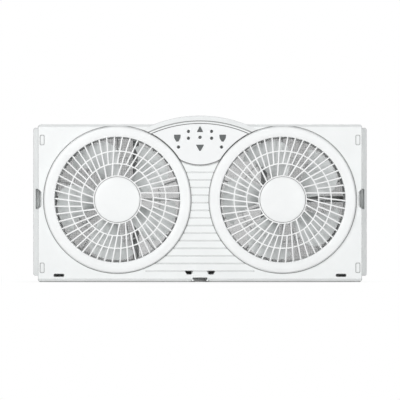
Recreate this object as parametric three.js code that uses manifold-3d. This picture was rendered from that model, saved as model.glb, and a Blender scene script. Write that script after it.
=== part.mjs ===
// A twin window fan: two axial fans side by side in a moulded two-shell housing, with a control
// panel in an arch between them and a sliding screened extender at each end.
// Millimetres. +X is to the right of someone facing the front, +Y points to the back (outdoors),
// +Z is up. The origin is at the middle of the footprint, on the sill.

import * as THREE from 'three';
import { mergeVertices } from 'three/addons/utils/BufferGeometryUtils.js';
import Module from 'manifold-3d';

const wasm = await Module();
wasm.setup();

// ---------------------------------------------------------------- driving dimensions

const FIT = 0.3; // gap left between seated pieces
const CUT = 2; // how far a cutting solid runs past the face it cuts
const WALL = 2.5; // housing wall

// Fan openings and the body that is built round them
const OPENING_R = 112.4; // radius of each air opening
const BEZEL_WIDTH = 19.1; // radial width of the ring round an opening
const BEZEL_GAP = 33; // between the two rings
const SIDE_MARGIN = 10.5; // ring to the side of the body
const TOP_MARGIN = 3; // ring to the top of the body
const BOTTOM_MARGIN = 16; // ring to the sill
const TOP_CHAMFER = 4;
const BOTTOM_CHAMFER = 5.7;
const CORNER_CHAMFER = 3;

// Depths, from the front face backwards
const CAP_PROUD = 14; // centre caps stand this far in front of the face
const FRONT_DEPTH = 50; // front shell
const REAR_DEPTH = 38; // rear shell, up to the back of its back plate
const EXTENDER_THICK = 9;
const SLIDE_GAP = 0.5; // each side of an extender in its track
const SHROUD_FLANGE = 9; // radial width, with the wall of the tube

// Arch with the control panel
const ARCH_R = 229;
const ARCH_RISE = 15.7; // above the top of the body
const ARCH_PROUD = 4; // in front of the face
const ARCH_BEVEL = 9.5;
const ARCH_BAND = 5; // flat band between the bevel and the fascia
const TONGUE_R = 72; // round lower edge of the panel
const TONGUE_LAP = 4.9125; // how deep the tongue's circle cuts into the circles beside the fascia
const FASCIA_THICK = 1.9;
const FASCIA_SIDE_GAP = 1.6; // fascia to the bezel ring
const PANEL_RIM = 2.4; // raised rim left round the lower edge of the fascia
const APERTURE_HALF_WIDTH = 49;
const APERTURE_TOP = 18.6; // below the crown of the arch
const APERTURE_HEIGHT = 47;
const APERTURE_LAND = 2.5; // fascia seat left round the aperture

// Grooves of the centre panel between the rings
const GROOVE_PITCH = 13.6;
const GROOVE_COUNT = 14;
const GROOVE_BOTTOM = 19.5;
const GROOVE_WIDTH = 2.2;
const GROOVE_DEPTH = 0.9;

// Pockets and snap windows of the front face: middle of each, and its size
const SIDE_POCKET = { fromSide: 7.4, fromTop: 27.8, fromBottom: 25.4, width: 7, height: 17, depth: 1.2 };
const FOOT_WINDOW = { fromSide: 37.5, up: 12, width: 17.5, height: 4.5 };
const MID_WINDOW = { x: 19.7, up: 16.9, width: 14.3, height: 6, taper: 3.4 };

// Notches: for a finger in each side, for the lead in the lower edge
const GRIP_DEPTH = 5.4;
const GRIP_HEIGHT = 35.6;
const GRIP_UP = 1.1; // middle of the grip above the fan centres
const LEAD_NOTCH_TOP = 13; // half width
const LEAD_NOTCH_FOOT = 9.3; // half width
const LEAD_NOTCH_HEIGHT = 7.5;
const CHAMBER_DEPTH = 30;

// Grilles
const SPOKES = 50;
const SPOKE_WIDTH = 2.6;
const SPOKE_DEPTH = 5;
const SPOKE_OFFSET = 12; // each spoke is straight and misses the axis by this much
const RING_WIDTH = 2.4;
const RING_A_R = 87;
const RING_B_R = 64.5;
const DOME_RISE = 5; // grille centre in front of its rim
const BEZEL_THICK = 8.5;
const BEZEL_LIP = 0.8; // edge of the bezel in front of the grille
const GRILLE_LAP = 4; // rim of the grille under the bezel
const CAP_R = 42;
const CAP_EDGE = 1.6;
const SEAT_RIM = 1.5; // grille centre plate past the cap

// Rear guards
const GUARD_SPOKES = 20;
const GUARD_SPOKE_WIDTH = 2.6;
const GUARD_THICK = 4;
const GUARD_RIM = 8; // overlap on the back plate
const GUARD_RING_R = 76;
const MOTOR_PLATE_R = 40;

// Motors
const MOTOR_R = 36;
const MOTOR_LENGTH = 38;
const BELL_LENGTH = 12;
const BELL_WALL = 1.4;
const BUSH_R = 6;
const BUSH_LENGTH = 8;
const SHAFT_R = 3;
const BUSH_PLAY = 0.08; // radial
const STATOR_BORE_R = 20;
const AIR_GAP = 0.6;
const MOTOR_SCREW_R = 27; // pitch circle radius
const MOTOR_SCREWS = 3;

// Impellers
const BLADES = 5;
const TIP_GAP = 4.4;
const BLADE_THICK = 2;
const BLADE_ARC = 50 * Math.PI / 180;
const BLADE_SWEEP = 14 * Math.PI / 180;
const BLADE_ROOT_AXIAL = 25;
const BLADE_TIP_AXIAL = 17;
const BLADE_CAMBER = 3;
const HUB_R = 28;
const HUB_LENGTH = 30;
const HUB_WALL = 2;
const HUB_BOSS_R = 7;
const HUB_TO_MOTOR = 2.5;
const NUT_R = 9;
const NUT_LENGTH = 7;
const BLADE_PHASE = { left: 56 * Math.PI / 180, right: 65 * Math.PI / 180 };

// Extenders
const EXTENDER_WIDTH = 190;
const POST_PROUD = 10; // beyond the side of the body when closed
const POST_DEPTH = 34;
const POST_CHAMFER = 2.5;
const RAIL_FLOOR = 10.2;
const RAIL_CEILING = 5.1; // below the top of the body
const LIP_HEIGHT = 7;
const FRAME_BORDER = 11;
const SCREEN_THICK = 0.8;
const SCREEN_OVERLAP = 4;
const GRIP_POCKET_DEPTH = 16;

// Controls: x, and height below the crown of the arch
const BUTTON_PROUD = 1;
const BUTTON_TRAVEL = 1;
const STEM = 4;
const STEM_TO_SWITCH = 0.3; // left when a button is pressed home
const SHIELD = { x: 40.6, below: 40.2, width: 11.3, height: 11.6 };
const UP_KEY = { below: 24.4, width: 10.6, height: 9.1 };
const DOWN_KEY = { below: 57.5, width: 13.8, height: 10.6 };
const LAMP_R = 2.75;
const LAMP_COLUMN = 20.7; // off the centre line
const LAMP_ROW_TOP = 28.1;
const LAMP_ROW_MID = 40.3;
const CENTRE_LAMP = 38.7;
const FOOT_LAMP_COLUMN = 38.5;
const FOOT_LAMP_ROW = 56.1;
const LAMPS = [
  { x: -LAMP_COLUMN, below: LAMP_ROW_TOP },
  { x: LAMP_COLUMN, below: LAMP_ROW_TOP },
  { x: -LAMP_COLUMN, below: LAMP_ROW_MID },
  { x: LAMP_COLUMN, below: LAMP_ROW_MID },
  { x: 0, below: CENTRE_LAMP },
  { x: -FOOT_LAMP_COLUMN, below: FOOT_LAMP_ROW },
  { x: FOOT_LAMP_COLUMN, below: FOOT_LAMP_ROW },
];
const PIPE_THICK = 1.6;
const BOARD_THICK = 1.6;
const BOARD_BACK = 12; // fascia to board
const BOARD_MARGIN = 5; // past the aperture
const SWITCH_SIZE = 6;

// Fasteners, gland, capacitors and leads
const SCREW = { headR: 3.4, headHeight: 2.2, shankR: 1.6 };
const BOSS_R = 4.2;
const BOSS_IN = 20; // corner bosses from the side of the body
const BOSS_UP = 14; // corner bosses from top and bottom
const MID_BOSS_LOW = 44;
const MID_BOSS_HIGH = 82; // below the top of the body
const SCREW_GRIP = 12; // thread in the front boss
const HEAD_SINK = 2.8;
const GLAND = { flangeR: 7, neckR: 5, boreR: 3.3, flange: 2 };
const CAPACITOR = { x: 32, up: 34, width: 36, height: 24, depth: 18 };
const LEAD_R = 2.2;
const LEAD_X = 11; // riser beside the centre line

// Sides of the round forms, from large to small
const BEZEL_SIDES = 36;
const DUCT_SIDES = 32;
const SCREEN_SIDES = 24;
const MOTOR_SIDES = 16;
const SMALL_SIDES = 12;
const HOLE_SIDES = 6;
const PANEL_STEPS = 6; // along each arc of the panel

// ---------------------------------------------------------------- sizes that follow from them

const BEZEL_R = OPENING_R + BEZEL_WIDTH;
const FAN_X = BEZEL_R + BEZEL_GAP / 2;
const FAN_Z = BOTTOM_MARGIN + BEZEL_R;
const BODY_HALF = FAN_X + BEZEL_R + SIDE_MARGIN;
const BODY_H = FAN_Z + BEZEL_R + TOP_MARGIN;

const TRACK_DEPTH = EXTENDER_THICK + 2 * SLIDE_GAP;
const TOTAL_DEPTH = CAP_PROUD + FRONT_DEPTH + REAR_DEPTH + TRACK_DEPTH + WALL;
const FACE_Y = CAP_PROUD - TOTAL_DEPTH / 2;
const SPLIT_Y = FACE_Y + FRONT_DEPTH;
const BACK_Y = SPLIT_Y + REAR_DEPTH;
const REAR_Y = BACK_Y + TRACK_DEPTH + WALL;
const PLATE_Y = BACK_Y - WALL; // inner face of the back plate

const CROWN_Z = BODY_H + ARCH_RISE;
const ARCH_Z = CROWN_Z - ARCH_R;
const FASCIA_R = ARCH_R - ARCH_BEVEL - ARCH_BAND;
const TONGUE_Z = FAN_Z
  + Math.sqrt((BEZEL_R + FASCIA_SIDE_GAP + TONGUE_R - TONGUE_LAP) ** 2 - FAN_X ** 2);
const PANEL_Y = FACE_Y - ARCH_PROUD;
const FASCIA_BACK_Y = PANEL_Y + FASCIA_THICK - FIT;
const BOARD_Y = FASCIA_BACK_Y + BOARD_BACK;

const GUARD_BACK_Y = PLATE_Y - FIT;
const GUARD_FRONT_Y = GUARD_BACK_Y - GUARD_THICK;
const MOTOR_BACK_Y = GUARD_FRONT_Y - FIT;
const MOTOR_FRONT_Y = MOTOR_BACK_Y - MOTOR_LENGTH;
const HUB_BACK_Y = MOTOR_FRONT_Y - HUB_TO_MOTOR;
const HUB_FRONT_Y = HUB_BACK_Y - HUB_LENGTH;
const NUT_BACK_Y = HUB_FRONT_Y - FIT;
const RIM_FRONT_Y = FACE_Y - FIT - SPOKE_DEPTH;
const CHAMBER_FRONT_Y = FACE_Y + BOTTOM_CHAMFER + WALL / 2;
const CHAMBER_END_Y = FACE_Y + CHAMBER_DEPTH;
const GLAND_Z = WALL + FIT + GLAND.flangeR;
const CHAMBER_HEIGHT = GLAND_Z + GLAND.flangeR + FIT;

const RAIL_TOP = BODY_H - RAIL_CEILING;
const EXTENDER_LOW = RAIL_FLOOR + FIT;
const EXTENDER_HIGH = RAIL_TOP - FIT;
const GRIP_Z = FAN_Z + GRIP_UP;

const CLOSED_HALF = BODY_HALF + POST_PROUD;

// ---------------------------------------------------------------- solids

/** Merge a closed geometry's corners, point its faces outwards and make it a solid. */
function solid(geometry) {
  const bare = geometry.clone();
  bare.deleteAttribute('normal');
  bare.deleteAttribute('uv');
  const merged = mergeVertices(bare, 1e-4);
  const points = merged.attributes.position.array;
  const index = merged.index.array;
  const faces = [];
  let volume = 0;
  for (let i = 0; i < index.length; i += 3) {
    const [a, b, c] = [index[i], index[i + 1], index[i + 2]];
    if (a === b || b === c || c === a) continue;
    faces.push([a, b, c]);
    volume += signedVolume(points, a, b, c);
  }
  const turned = volume < 0 ? faces.map(([a, b, c]) => [a, c, b]) : faces;
  return new wasm.Manifold(new wasm.Mesh({
    numProp: 3,
    vertProperties: Float32Array.from(points),
    triVerts: Uint32Array.from(turned.flat()),
  }));
}

/** Six times the volume between the origin and one triangle. */
function signedVolume(p, a, b, c) {
  const [ax, ay, az] = [p[3 * a], p[3 * a + 1], p[3 * a + 2]];
  const [bx, by, bz] = [p[3 * b], p[3 * b + 1], p[3 * b + 2]];
  const [cx, cy, cz] = [p[3 * c], p[3 * c + 1], p[3 * c + 2]];
  return ax * (by * cz - bz * cy) + ay * (bz * cx - bx * cz) + az * (bx * cy - by * cx);
}

/** The faces of a solid as a geometry. */
function geometryOf(body) {
  const mesh = body.getMesh();
  const points = new Float32Array(mesh.numVert * 3);
  for (let i = 0; i < mesh.numVert; i += 1) {
    for (let k = 0; k < 3; k += 1) {
      points[3 * i + k] = mesh.vertProperties[mesh.numProp * i + k];
    }
  }
  const geometry = new THREE.BufferGeometry();
  geometry.setAttribute('position', new THREE.BufferAttribute(points, 3));
  geometry.setIndex(Array.from(mesh.triVerts));
  const flat = geometry.toNonIndexed();
  flat.computeVertexNormals();
  return flat;
}

/** Join several solids. */
function join(...bodies) {
  return bodies.reduce((sum, body) => sum.add(body));
}

/** Cut several solids away from one. */
function cut(body, ...tools) {
  return tools.reduce((rest, tool) => rest.subtract(tool), body);
}

/** Extrude a shape drawn in X and Z from one depth to another. */
function prismY(shape, y0, y1) {
  const geometry = new THREE.ExtrudeGeometry(shape, { depth: y1 - y0, bevelEnabled: false });
  geometry.rotateX(Math.PI / 2);
  geometry.translate(0, y1, 0);
  return solid(geometry);
}

/** Extrude a profile drawn in Y and Z from one side to another. */
function prismX(shape, x0, x1) {
  const geometry = new THREE.ExtrudeGeometry(shape, { depth: x1 - x0, bevelEnabled: false });
  geometry.applyMatrix4(new THREE.Matrix4().makeBasis(
    new THREE.Vector3(0, 1, 0),
    new THREE.Vector3(0, 0, 1),
    new THREE.Vector3(1, 0, 0),
  ));
  geometry.translate(x0, 0, 0);
  return solid(geometry);
}

/** Turn a closed profile of [radius, depth] points about an axis along Y at (x, z). */
function turned(profile, sides, x = 0, z = 0) {
  const points = profile.map(([r, y]) => new THREE.Vector2(r, y));
  points.push(points[0].clone());
  const geometry = new THREE.LatheGeometry(points, sides);
  geometry.translate(x, 0, z);
  return solid(geometry);
}

/** A round bar along Y. */
function bar(r, y0, y1, x, z, sides) {
  return turned([[0, y0], [r, y0], [r, y1], [0, y1]], sides, x, z);
}

/** A block between two corners. */
function block(x0, x1, y0, y1, z0, z1) {
  const geometry = new THREE.BoxGeometry(x1 - x0, y1 - y0, z1 - z0);
  geometry.translate((x0 + x1) / 2, (y0 + y1) / 2, (z0 + z1) / 2);
  return solid(geometry);
}

/** A shape from its corners, taken anticlockwise. */
function outline(corners) {
  const points = corners.map(([u, v]) => new THREE.Vector2(u, v));
  return new THREE.Shape(THREE.ShapeUtils.isClockWise(points) ? points.reverse() : points);
}

/** Points on an arc about (cx, cz). */
function arc(cx, cz, r, from, to, steps) {
  return Array.from({ length: steps + 1 }, (_, i) => {
    const a = from + (to - from) * i / steps;
    return [cx + r * Math.cos(a), cz + r * Math.sin(a)];
  });
}

/** The crossing, with the larger or smaller z, of two circles, to the right of the centre line. */
function crossing(c0, r0, c1, r1, upper) {
  const dx = c1[0] - c0[0];
  const dz = c1[1] - c0[1];
  const d = Math.hypot(dx, dz);
  const along = (r0 * r0 - r1 * r1 + d * d) / (2 * d);
  const off = Math.sqrt(r0 * r0 - along * along);
  const mid = [c0[0] + along * dx / d, c0[1] + along * dz / d];
  const one = [mid[0] + off * dz / d, mid[1] - off * dx / d];
  const two = [mid[0] - off * dz / d, mid[1] + off * dx / d];
  return (one[1] > two[1]) === upper ? one : two;
}

const SIDES = [
  { name: 'left', sign: -1, x: -FAN_X },
  { name: 'right', sign: 1, x: FAN_X },
];

// ---------------------------------------------------------------- housing shells

/** Front outline of the body, drawn in by an inset, with a notch for a finger in each side. */
function bodyOutline(inset) {
  const corner = CORNER_CHAMFER - inset * (2 - Math.SQRT2);
  const side = BODY_HALF - inset;
  const low = inset;
  const high = BODY_H - inset;
  const reach = GRIP_HEIGHT / 2 + inset * Math.tan(Math.PI / 8);
  const half = [
    [side - corner, low],
    [side, low + corner],
    [side, GRIP_Z - reach],
    [side - GRIP_DEPTH, GRIP_Z - reach + GRIP_DEPTH],
    [side - GRIP_DEPTH, GRIP_Z + reach - GRIP_DEPTH],
    [side, GRIP_Z + reach],
    [side, high - corner],
    [side - corner, high],
  ];
  const mirrored = half.map(([x, z]) => [-x, z]).reverse();
  return outline([...half, ...mirrored]);
}

/** Side profile of the front shell, drawn in by an inset. */
function frontProfile(inset, backY) {
  const loss = inset * (2 - Math.SQRT2);
  const face = FACE_Y + inset;
  const low = inset;
  const high = BODY_H - inset;
  return outline([
    [face, low + BOTTOM_CHAMFER - loss],
    [face + BOTTOM_CHAMFER - loss, low],
    [backY, low],
    [backY, high],
    [face + TOP_CHAMFER - loss, high],
    [face, high - TOP_CHAMFER + loss],
  ]);
}

/** Outline of the panel between the rings: arch above, ring circles beside, tongue below. */
function panelOutline(archR, sideR, tongueR, steps) {
  const arch = [0, ARCH_Z];
  const ring = [FAN_X, FAN_Z];
  const tongue = [0, TONGUE_Z];
  const top = crossing(arch, archR, ring, sideR, true);
  const foot = crossing(ring, sideR, tongue, tongueR, false);
  const angle = (centre, point) => Math.atan2(point[1] - centre[1], point[0] - centre[0]);
  const archTo = angle(arch, top);
  const ringFrom = angle(ring, top);
  const ringTo = angle(ring, foot);
  const tongueFrom = angle(tongue, foot);
  const right = [
    ...arc(...arch, archR, Math.PI / 2, archTo, steps),
    ...arc(...ring, sideR, ringFrom, ringTo, steps).slice(1),
    ...arc(...tongue, tongueR, tongueFrom, -Math.PI / 2, steps).slice(1),
  ];
  const left = right.slice(1, -1).map(([x, z]) => [-x, z]).reverse();
  return outline([...right, ...left]);
}

/** The arch: a disc with a bevelled edge, kept where it lies above the tongue. */
function archBlock(inset, backY) {
  const face = FACE_Y + inset;
  const front = PANEL_Y + inset;
  const r = ARCH_R - inset;
  const disc = turned([
    [0, front],
    [r - ARCH_BEVEL, front],
    [r, face],
    [r, backY],
    [0, backY],
  ], 90, 0, ARCH_Z);
  const panel = prismY(
    panelOutline(ARCH_R + CUT, BEZEL_R + FIT + inset, TONGUE_R + PANEL_RIM - inset, PANEL_STEPS),
    front - CUT,
    face + WALL,
  );
  const top = block(-ARCH_R, ARCH_R, face, backY + CUT, BODY_H - TOP_CHAMFER - inset, CROWN_Z + CUT);
  return disc.intersect(join(panel, top));
}

/** The opening behind the fascia, as a solid drawn in by a gap. */
function apertureBlock(gap, y0, y1) {
  const land = APERTURE_LAND + gap;
  const half = APERTURE_HALF_WIDTH - gap;
  const sides = BEZEL_R + FASCIA_SIDE_GAP + land;
  return prismY(panelOutline(FASCIA_R - land, sides, TONGUE_R - land, PANEL_STEPS), y0, y1)
    .intersect(block(-half, half, y0, y1, APERTURE_Z0 + gap, APERTURE_Z1 - gap));
}

/** Openings through the front face near its foot, and shallow pockets near its sides. */
function snapWindows() {
  const through = (corners) => prismY(outline(corners), FACE_Y - CUT, FACE_Y + WALL + CUT);
  const box = (x, z, w, h, depth) => (
    block(x - w / 2, x + w / 2, FACE_Y - CUT, FACE_Y + depth, z - h / 2, z + h / 2));
  return SIDES.flatMap(({ sign }) => {
    const sideX = sign * (BODY_HALF - SIDE_POCKET.fromSide);
    const midX = sign * MID_WINDOW.x;
    const top = MID_WINDOW.up + MID_WINDOW.height / 2;
    const foot = MID_WINDOW.up - MID_WINDOW.height / 2;
    const narrow = MID_WINDOW.width / 2 - MID_WINDOW.taper;
    return [
      ...[BODY_H - SIDE_POCKET.fromTop, SIDE_POCKET.fromBottom].map((z) => (
        box(sideX, z, SIDE_POCKET.width, SIDE_POCKET.height, SIDE_POCKET.depth))),
      box(sign * (BODY_HALF - FOOT_WINDOW.fromSide), FOOT_WINDOW.up, FOOT_WINDOW.width,
        FOOT_WINDOW.height, WALL + CUT),
      through([
        [midX - narrow, foot],
        [midX + narrow, foot],
        [midX + MID_WINDOW.width / 2, top],
        [midX - MID_WINDOW.width / 2, top],
      ]),
    ];
  });
}

/** Shallow level grooves between the rings, kept clear of the rings. */
function panelGrooves() {
  const reach = BEZEL_R + FIT + GROOVE_WIDTH;
  const grooves = Array.from({ length: GROOVE_COUNT }, (_, i) => {
    const z = GROOVE_BOTTOM + i * GROOVE_PITCH;
    const rise = Math.min(Math.abs(z - FAN_Z) + GROOVE_WIDTH / 2, reach);
    const half = FAN_X - Math.sqrt(reach * reach - rise * rise);
    const low = z - GROOVE_WIDTH / 2;
    return prismX(outline([
      [FACE_Y - CUT, low],
      [FACE_Y, low],
      [FACE_Y + GROOVE_DEPTH, z],
      [FACE_Y, low + GROOVE_WIDTH],
      [FACE_Y - CUT, low + GROOVE_WIDTH],
    ]), -Math.min(half, BODY_HALF / 3), Math.min(half, BODY_HALF / 3));
  });
  return grooves;
}

const BOSSES = [
  ...SIDES.flatMap(({ sign }) => [
    [sign * (BODY_HALF - BOSS_IN), BOSS_UP],
    [sign * (BODY_HALF - BOSS_IN), BODY_H - BOSS_UP],
  ]),
  [0, MID_BOSS_LOW],
  [0, BODY_H - MID_BOSS_HIGH],
];
const SCREW_HOLE_R = SCREW.shankR + FIT;

/** Front shell: face, skirt, arch, lead chamber and screw bosses. */
function frontHousing() {
  const outer = join(
    prismX(frontProfile(0, SPLIT_Y), -BODY_HALF, BODY_HALF)
      .intersect(prismY(bodyOutline(0), FACE_Y - CUT, SPLIT_Y + CUT)),
    archBlock(0, SPLIT_Y),
  );
  const inner = join(
    prismX(frontProfile(WALL, SPLIT_Y + CUT), -BODY_HALF + WALL, BODY_HALF - WALL)
      .intersect(prismY(bodyOutline(WALL), FACE_Y, SPLIT_Y + 2 * CUT)),
    archBlock(WALL, SPLIT_Y - WALL),
  );
  const bosses = BOSSES.map(([x, z]) => bar(BOSS_R, FACE_Y + WALL / 2, SPLIT_Y, x, z, HOLE_SIDES));
  const boardPosts = SIDES.map(({ sign }) => bar(BOSS_R, PANEL_Y + WALL / 2, BOARD_Y - FIT,
    sign * BOARD_POST_X, SHIELD_Z, HOLE_SIDES));
  const chamber = block(-LEAD_NOTCH_TOP - WALL, LEAD_NOTCH_TOP + WALL, FACE_Y + WALL / 2,
    CHAMBER_END_Y + WALL, 0, CHAMBER_HEIGHT + WALL);
  const solidPieces = join(outer.subtract(inner), ...bosses, ...boardPosts, chamber);
  const openings = SIDES.map(({ x }) => (
    bar(OPENING_R, FACE_Y - CUT, FACE_Y + WALL, x, FAN_Z, DUCT_SIDES)));
  const screwHoles = BOSSES.map(([x, z]) => (
    bar(SCREW_HOLE_R, SPLIT_Y - SCREW_GRIP - CUT, SPLIT_Y + CUT, x, z, HOLE_SIDES)));
  const seat = prismY(
    panelOutline(FASCIA_R + FIT, BEZEL_R + FASCIA_SIDE_GAP - FIT, TONGUE_R + FIT, PANEL_STEPS),
    PANEL_Y - CUT,
    FASCIA_BACK_Y + FIT,
  );
  const aperture = apertureBlock(0, PANEL_Y, FACE_Y + WALL + CUT);
  const notch = prismY(outline([
    [-LEAD_NOTCH_FOOT, -CUT],
    [LEAD_NOTCH_FOOT, -CUT],
    [LEAD_NOTCH_FOOT, 0],
    [LEAD_NOTCH_TOP, LEAD_NOTCH_HEIGHT],
    [-LEAD_NOTCH_TOP, LEAD_NOTCH_HEIGHT],
    [-LEAD_NOTCH_FOOT, 0],
  ]), FACE_Y - CUT, CHAMBER_FRONT_Y + CUT);
  const chamberRoom = block(-LEAD_NOTCH_TOP, LEAD_NOTCH_TOP, CHAMBER_FRONT_Y,
    CHAMBER_END_Y, -CUT, CHAMBER_HEIGHT);
  const glandHole = bar(GLAND.neckR + FIT, CHAMBER_END_Y - CUT, CHAMBER_END_Y + WALL + CUT,
    0, GLAND_Z, SMALL_SIDES);
  return cut(solidPieces, ...openings, ...screwHoles, seat, aperture, notch, chamberRoom,
    glandHole, ...snapWindows(), ...panelGrooves());
}

/** Shroud: the tube round an impeller, with a flange behind the face. */
function fanShroud(x) {
  const front = FACE_Y + WALL + FIT;
  return turned([
    [OPENING_R, front],
    [OPENING_R + SHROUD_FLANGE, front],
    [OPENING_R + SHROUD_FLANGE, front + WALL],
    [OPENING_R + WALL, front + WALL],
    [OPENING_R + WALL, SPLIT_Y],
    [OPENING_R, SPLIT_Y],
  ], DUCT_SIDES, x, FAN_Z);
}

/** Rear shell: back plate, skirt, screw tubes and the two tracks of the extenders. */
function rearHousing() {
  const front = SPLIT_Y + FIT;
  const body = prismY(bodyOutline(0), front, REAR_Y);
  const inside = prismY(bodyOutline(WALL), front - CUT, PLATE_Y);
  const track = block(-BODY_HALF - CUT, BODY_HALF + CUT, BACK_Y, REAR_Y - WALL, RAIL_FLOOR, RAIL_TOP);
  const rearOpen = block(-BODY_HALF - CUT, BODY_HALF + CUT, BACK_Y, REAR_Y + CUT,
    RAIL_FLOOR + LIP_HEIGHT, RAIL_TOP - LIP_HEIGHT);
  const openings = SIDES.map(({ x }) => (
    bar(OPENING_R, PLATE_Y - CUT, BACK_Y + CUT, x, FAN_Z, DUCT_SIDES)));
  const tubes = BOSSES.map(([x, z]) => (
    bar(BOSS_R, front, PLATE_Y + WALL / 2, x, z, HOLE_SIDES)));
  const shell = join(cut(body, inside, track, rearOpen, ...openings), ...tubes);
  const holes = BOSSES.flatMap(([x, z]) => [
    bar(SCREW_HOLE_R, front - CUT, BACK_Y + CUT, x, z, HOLE_SIDES),
    bar(SCREW.headR + FIT, BACK_Y - HEAD_SINK, BACK_Y + CUT, x, z, HOLE_SIDES),
  ]);
  return cut(shell, ...holes);
}

// ---------------------------------------------------------------- grilles

/** Corners of one opening between two straight, offset spokes and two ring edges. */
function spokeGap(index, count, width, offset, inner, outer) {
  const pitch = 2 * Math.PI / count;
  const edge = (r, side) => {
    const lean = Math.asin(offset / r);
    const half = width / 2 / r;
    return -(index + (side > 0 ? 1 : 0)) * pitch + lean + (side > 0 ? half : -half);
  };
  const corner = (r, side) => [r * Math.cos(edge(r, side)), r * Math.sin(edge(r, side))];
  return [corner(inner, 1), corner(outer, 1), corner(outer, -1), corner(inner, -1)];
}

/** A ring plate with bands of gaps, as a solid between two depths about (0, 0). */
function spokedPlate(bands, outerR, sides, y0, y1) {
  const shape = outline(arc(0, 0, outerR, 0, 2 * Math.PI, sides).slice(0, -1));
  bands.forEach(({ count, width, offset, inner, outer }) => {
    for (let i = 0; i < count; i += 1) {
      const corners = spokeGap(i, count, width, offset, inner, outer);
      shape.holes.push(new THREE.Path(corners.map(([x, z]) => new THREE.Vector2(x, z))));
    }
  });
  const geometry = new THREE.ExtrudeGeometry(shape, { depth: y1 - y0, bevelEnabled: false });
  geometry.rotateX(Math.PI / 2);
  geometry.translate(0, y1, 0);
  return geometry;
}

/** Push a plate forwards as a shallow dome that is level at its rim. */
function domed(geometry) {
  const place = geometry.attributes.position;
  for (let i = 0; i < place.count; i += 1) {
    const r = Math.min(Math.hypot(place.getX(i), place.getZ(i)), OPENING_R);
    const rise = DOME_RISE * (1 - (r / OPENING_R) ** 2);
    place.setY(i, place.getY(i) - rise);
  }
  return geometry;
}

const SEAT_R = CAP_R + SEAT_RIM;
const SEAT_FRONT_Y = RIM_FRONT_Y - DOME_RISE * (1 - (SEAT_R / OPENING_R) ** 2);

/** Front grille: rim, offset spokes, two rings and the seat of the cap, in one domed moulding. */
function frontGrille(x) {
  const common = { width: SPOKE_WIDTH, offset: SPOKE_OFFSET };
  const lapped = OPENING_R + GRILLE_LAP / 4;
  const ringA = { inner: RING_A_R - RING_WIDTH / 2, outer: RING_A_R + RING_WIDTH / 2 };
  const ringB = { inner: RING_B_R - RING_WIDTH / 2, outer: RING_B_R + RING_WIDTH / 2 };
  const plate = spokedPlate([
    { ...common, count: SPOKES, inner: ringA.outer, outer: lapped },
    { ...common, count: SPOKES, inner: ringB.outer, outer: ringA.inner },
    { ...common, count: SPOKES / 2, inner: SEAT_R, outer: ringB.inner },
  ], OPENING_R + GRILLE_LAP, SPOKES, RIM_FRONT_Y, RIM_FRONT_Y + SPOKE_DEPTH);
  return solid(domed(plate)).translate([x, 0, FAN_Z]);
}

/** Bezel: crowned ring that holds the rim of the grille against the face. */
function grilleBezel(x) {
  const rest = FACE_Y - FIT;
  const roof = RIM_FRONT_Y - FIT;
  const lapR = (OPENING_R + GRILLE_LAP) / Math.cos(Math.PI / BEZEL_SIDES) + FIT;
  return turned([
    [OPENING_R, roof],
    [lapR, roof],
    [lapR, rest],
    [BEZEL_R, rest],
    [BEZEL_R, rest - BEZEL_THICK / 3],
    [BEZEL_R - BEZEL_WIDTH / 5, FACE_Y - BEZEL_THICK * 0.85],
    [BEZEL_R - BEZEL_WIDTH / 2, FACE_Y - BEZEL_THICK],
    [OPENING_R + BEZEL_WIDTH / 8, FACE_Y - BEZEL_THICK * 0.92],
    [OPENING_R, roof - BEZEL_LIP],
  ], BEZEL_SIDES, x, FAN_Z);
}

/** Centre cap: a shallow crowned disc on the seat of the grille. */
function grilleCap(x) {
  const back = SEAT_FRONT_Y - FIT;
  const front = FACE_Y - CAP_PROUD;
  const crown = back - CAP_EDGE - front;
  return turned([
    [0, back],
    [CAP_R, back],
    [CAP_R, back - CAP_EDGE],
    [CAP_R * 0.93, back - CAP_EDGE - crown * 0.35],
    [CAP_R * 0.6, back - CAP_EDGE - crown * 0.8],
    [0, front],
  ], DUCT_SIDES, x, FAN_Z);
}

/** Rear guard: rim, spokes, one ring and the plate that carries the motor. */
function rearGuard(x) {
  const common = { width: GUARD_SPOKE_WIDTH, offset: 0, count: GUARD_SPOKES };
  const plate = solid(spokedPlate([
    { ...common, inner: GUARD_RING_R + RING_WIDTH / 2, outer: OPENING_R - GUARD_SPOKE_WIDTH },
    { ...common, inner: MOTOR_PLATE_R, outer: GUARD_RING_R - RING_WIDTH / 2 },
  ], OPENING_R + GUARD_RIM, GUARD_SPOKES, GUARD_FRONT_Y, GUARD_BACK_Y));
  const holes = motorScrewPlaces().map(([dx, dz]) => (
    bar(SCREW_HOLE_R, GUARD_FRONT_Y - CUT, GUARD_BACK_Y + CUT, dx, dz, HOLE_SIDES)));
  return cut(plate, ...holes).translate([x, 0, FAN_Z]);
}

/** Fine screen on the back of a rear guard, inside the opening of the back plate. */
function rearScreen(x) {
  const outer = OPENING_R * Math.cos(Math.PI / DUCT_SIDES) - FIT;
  return turned([
    [MOTOR_PLATE_R - SCREEN_OVERLAP, GUARD_BACK_Y + FIT],
    [outer, GUARD_BACK_Y + FIT],
    [outer, GUARD_BACK_Y + FIT + SCREEN_THICK],
    [MOTOR_PLATE_R - SCREEN_OVERLAP, GUARD_BACK_Y + FIT + SCREEN_THICK],
  ], SCREEN_SIDES, x, FAN_Z);
}

// ---------------------------------------------------------------- motors

/** Places of a motor's screws about its axis. */
function motorScrewPlaces() {
  return arc(0, 0, MOTOR_SCREW_R, Math.PI / 2, Math.PI / 2 + 2 * Math.PI, MOTOR_SCREWS).slice(0, -1);
}

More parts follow.
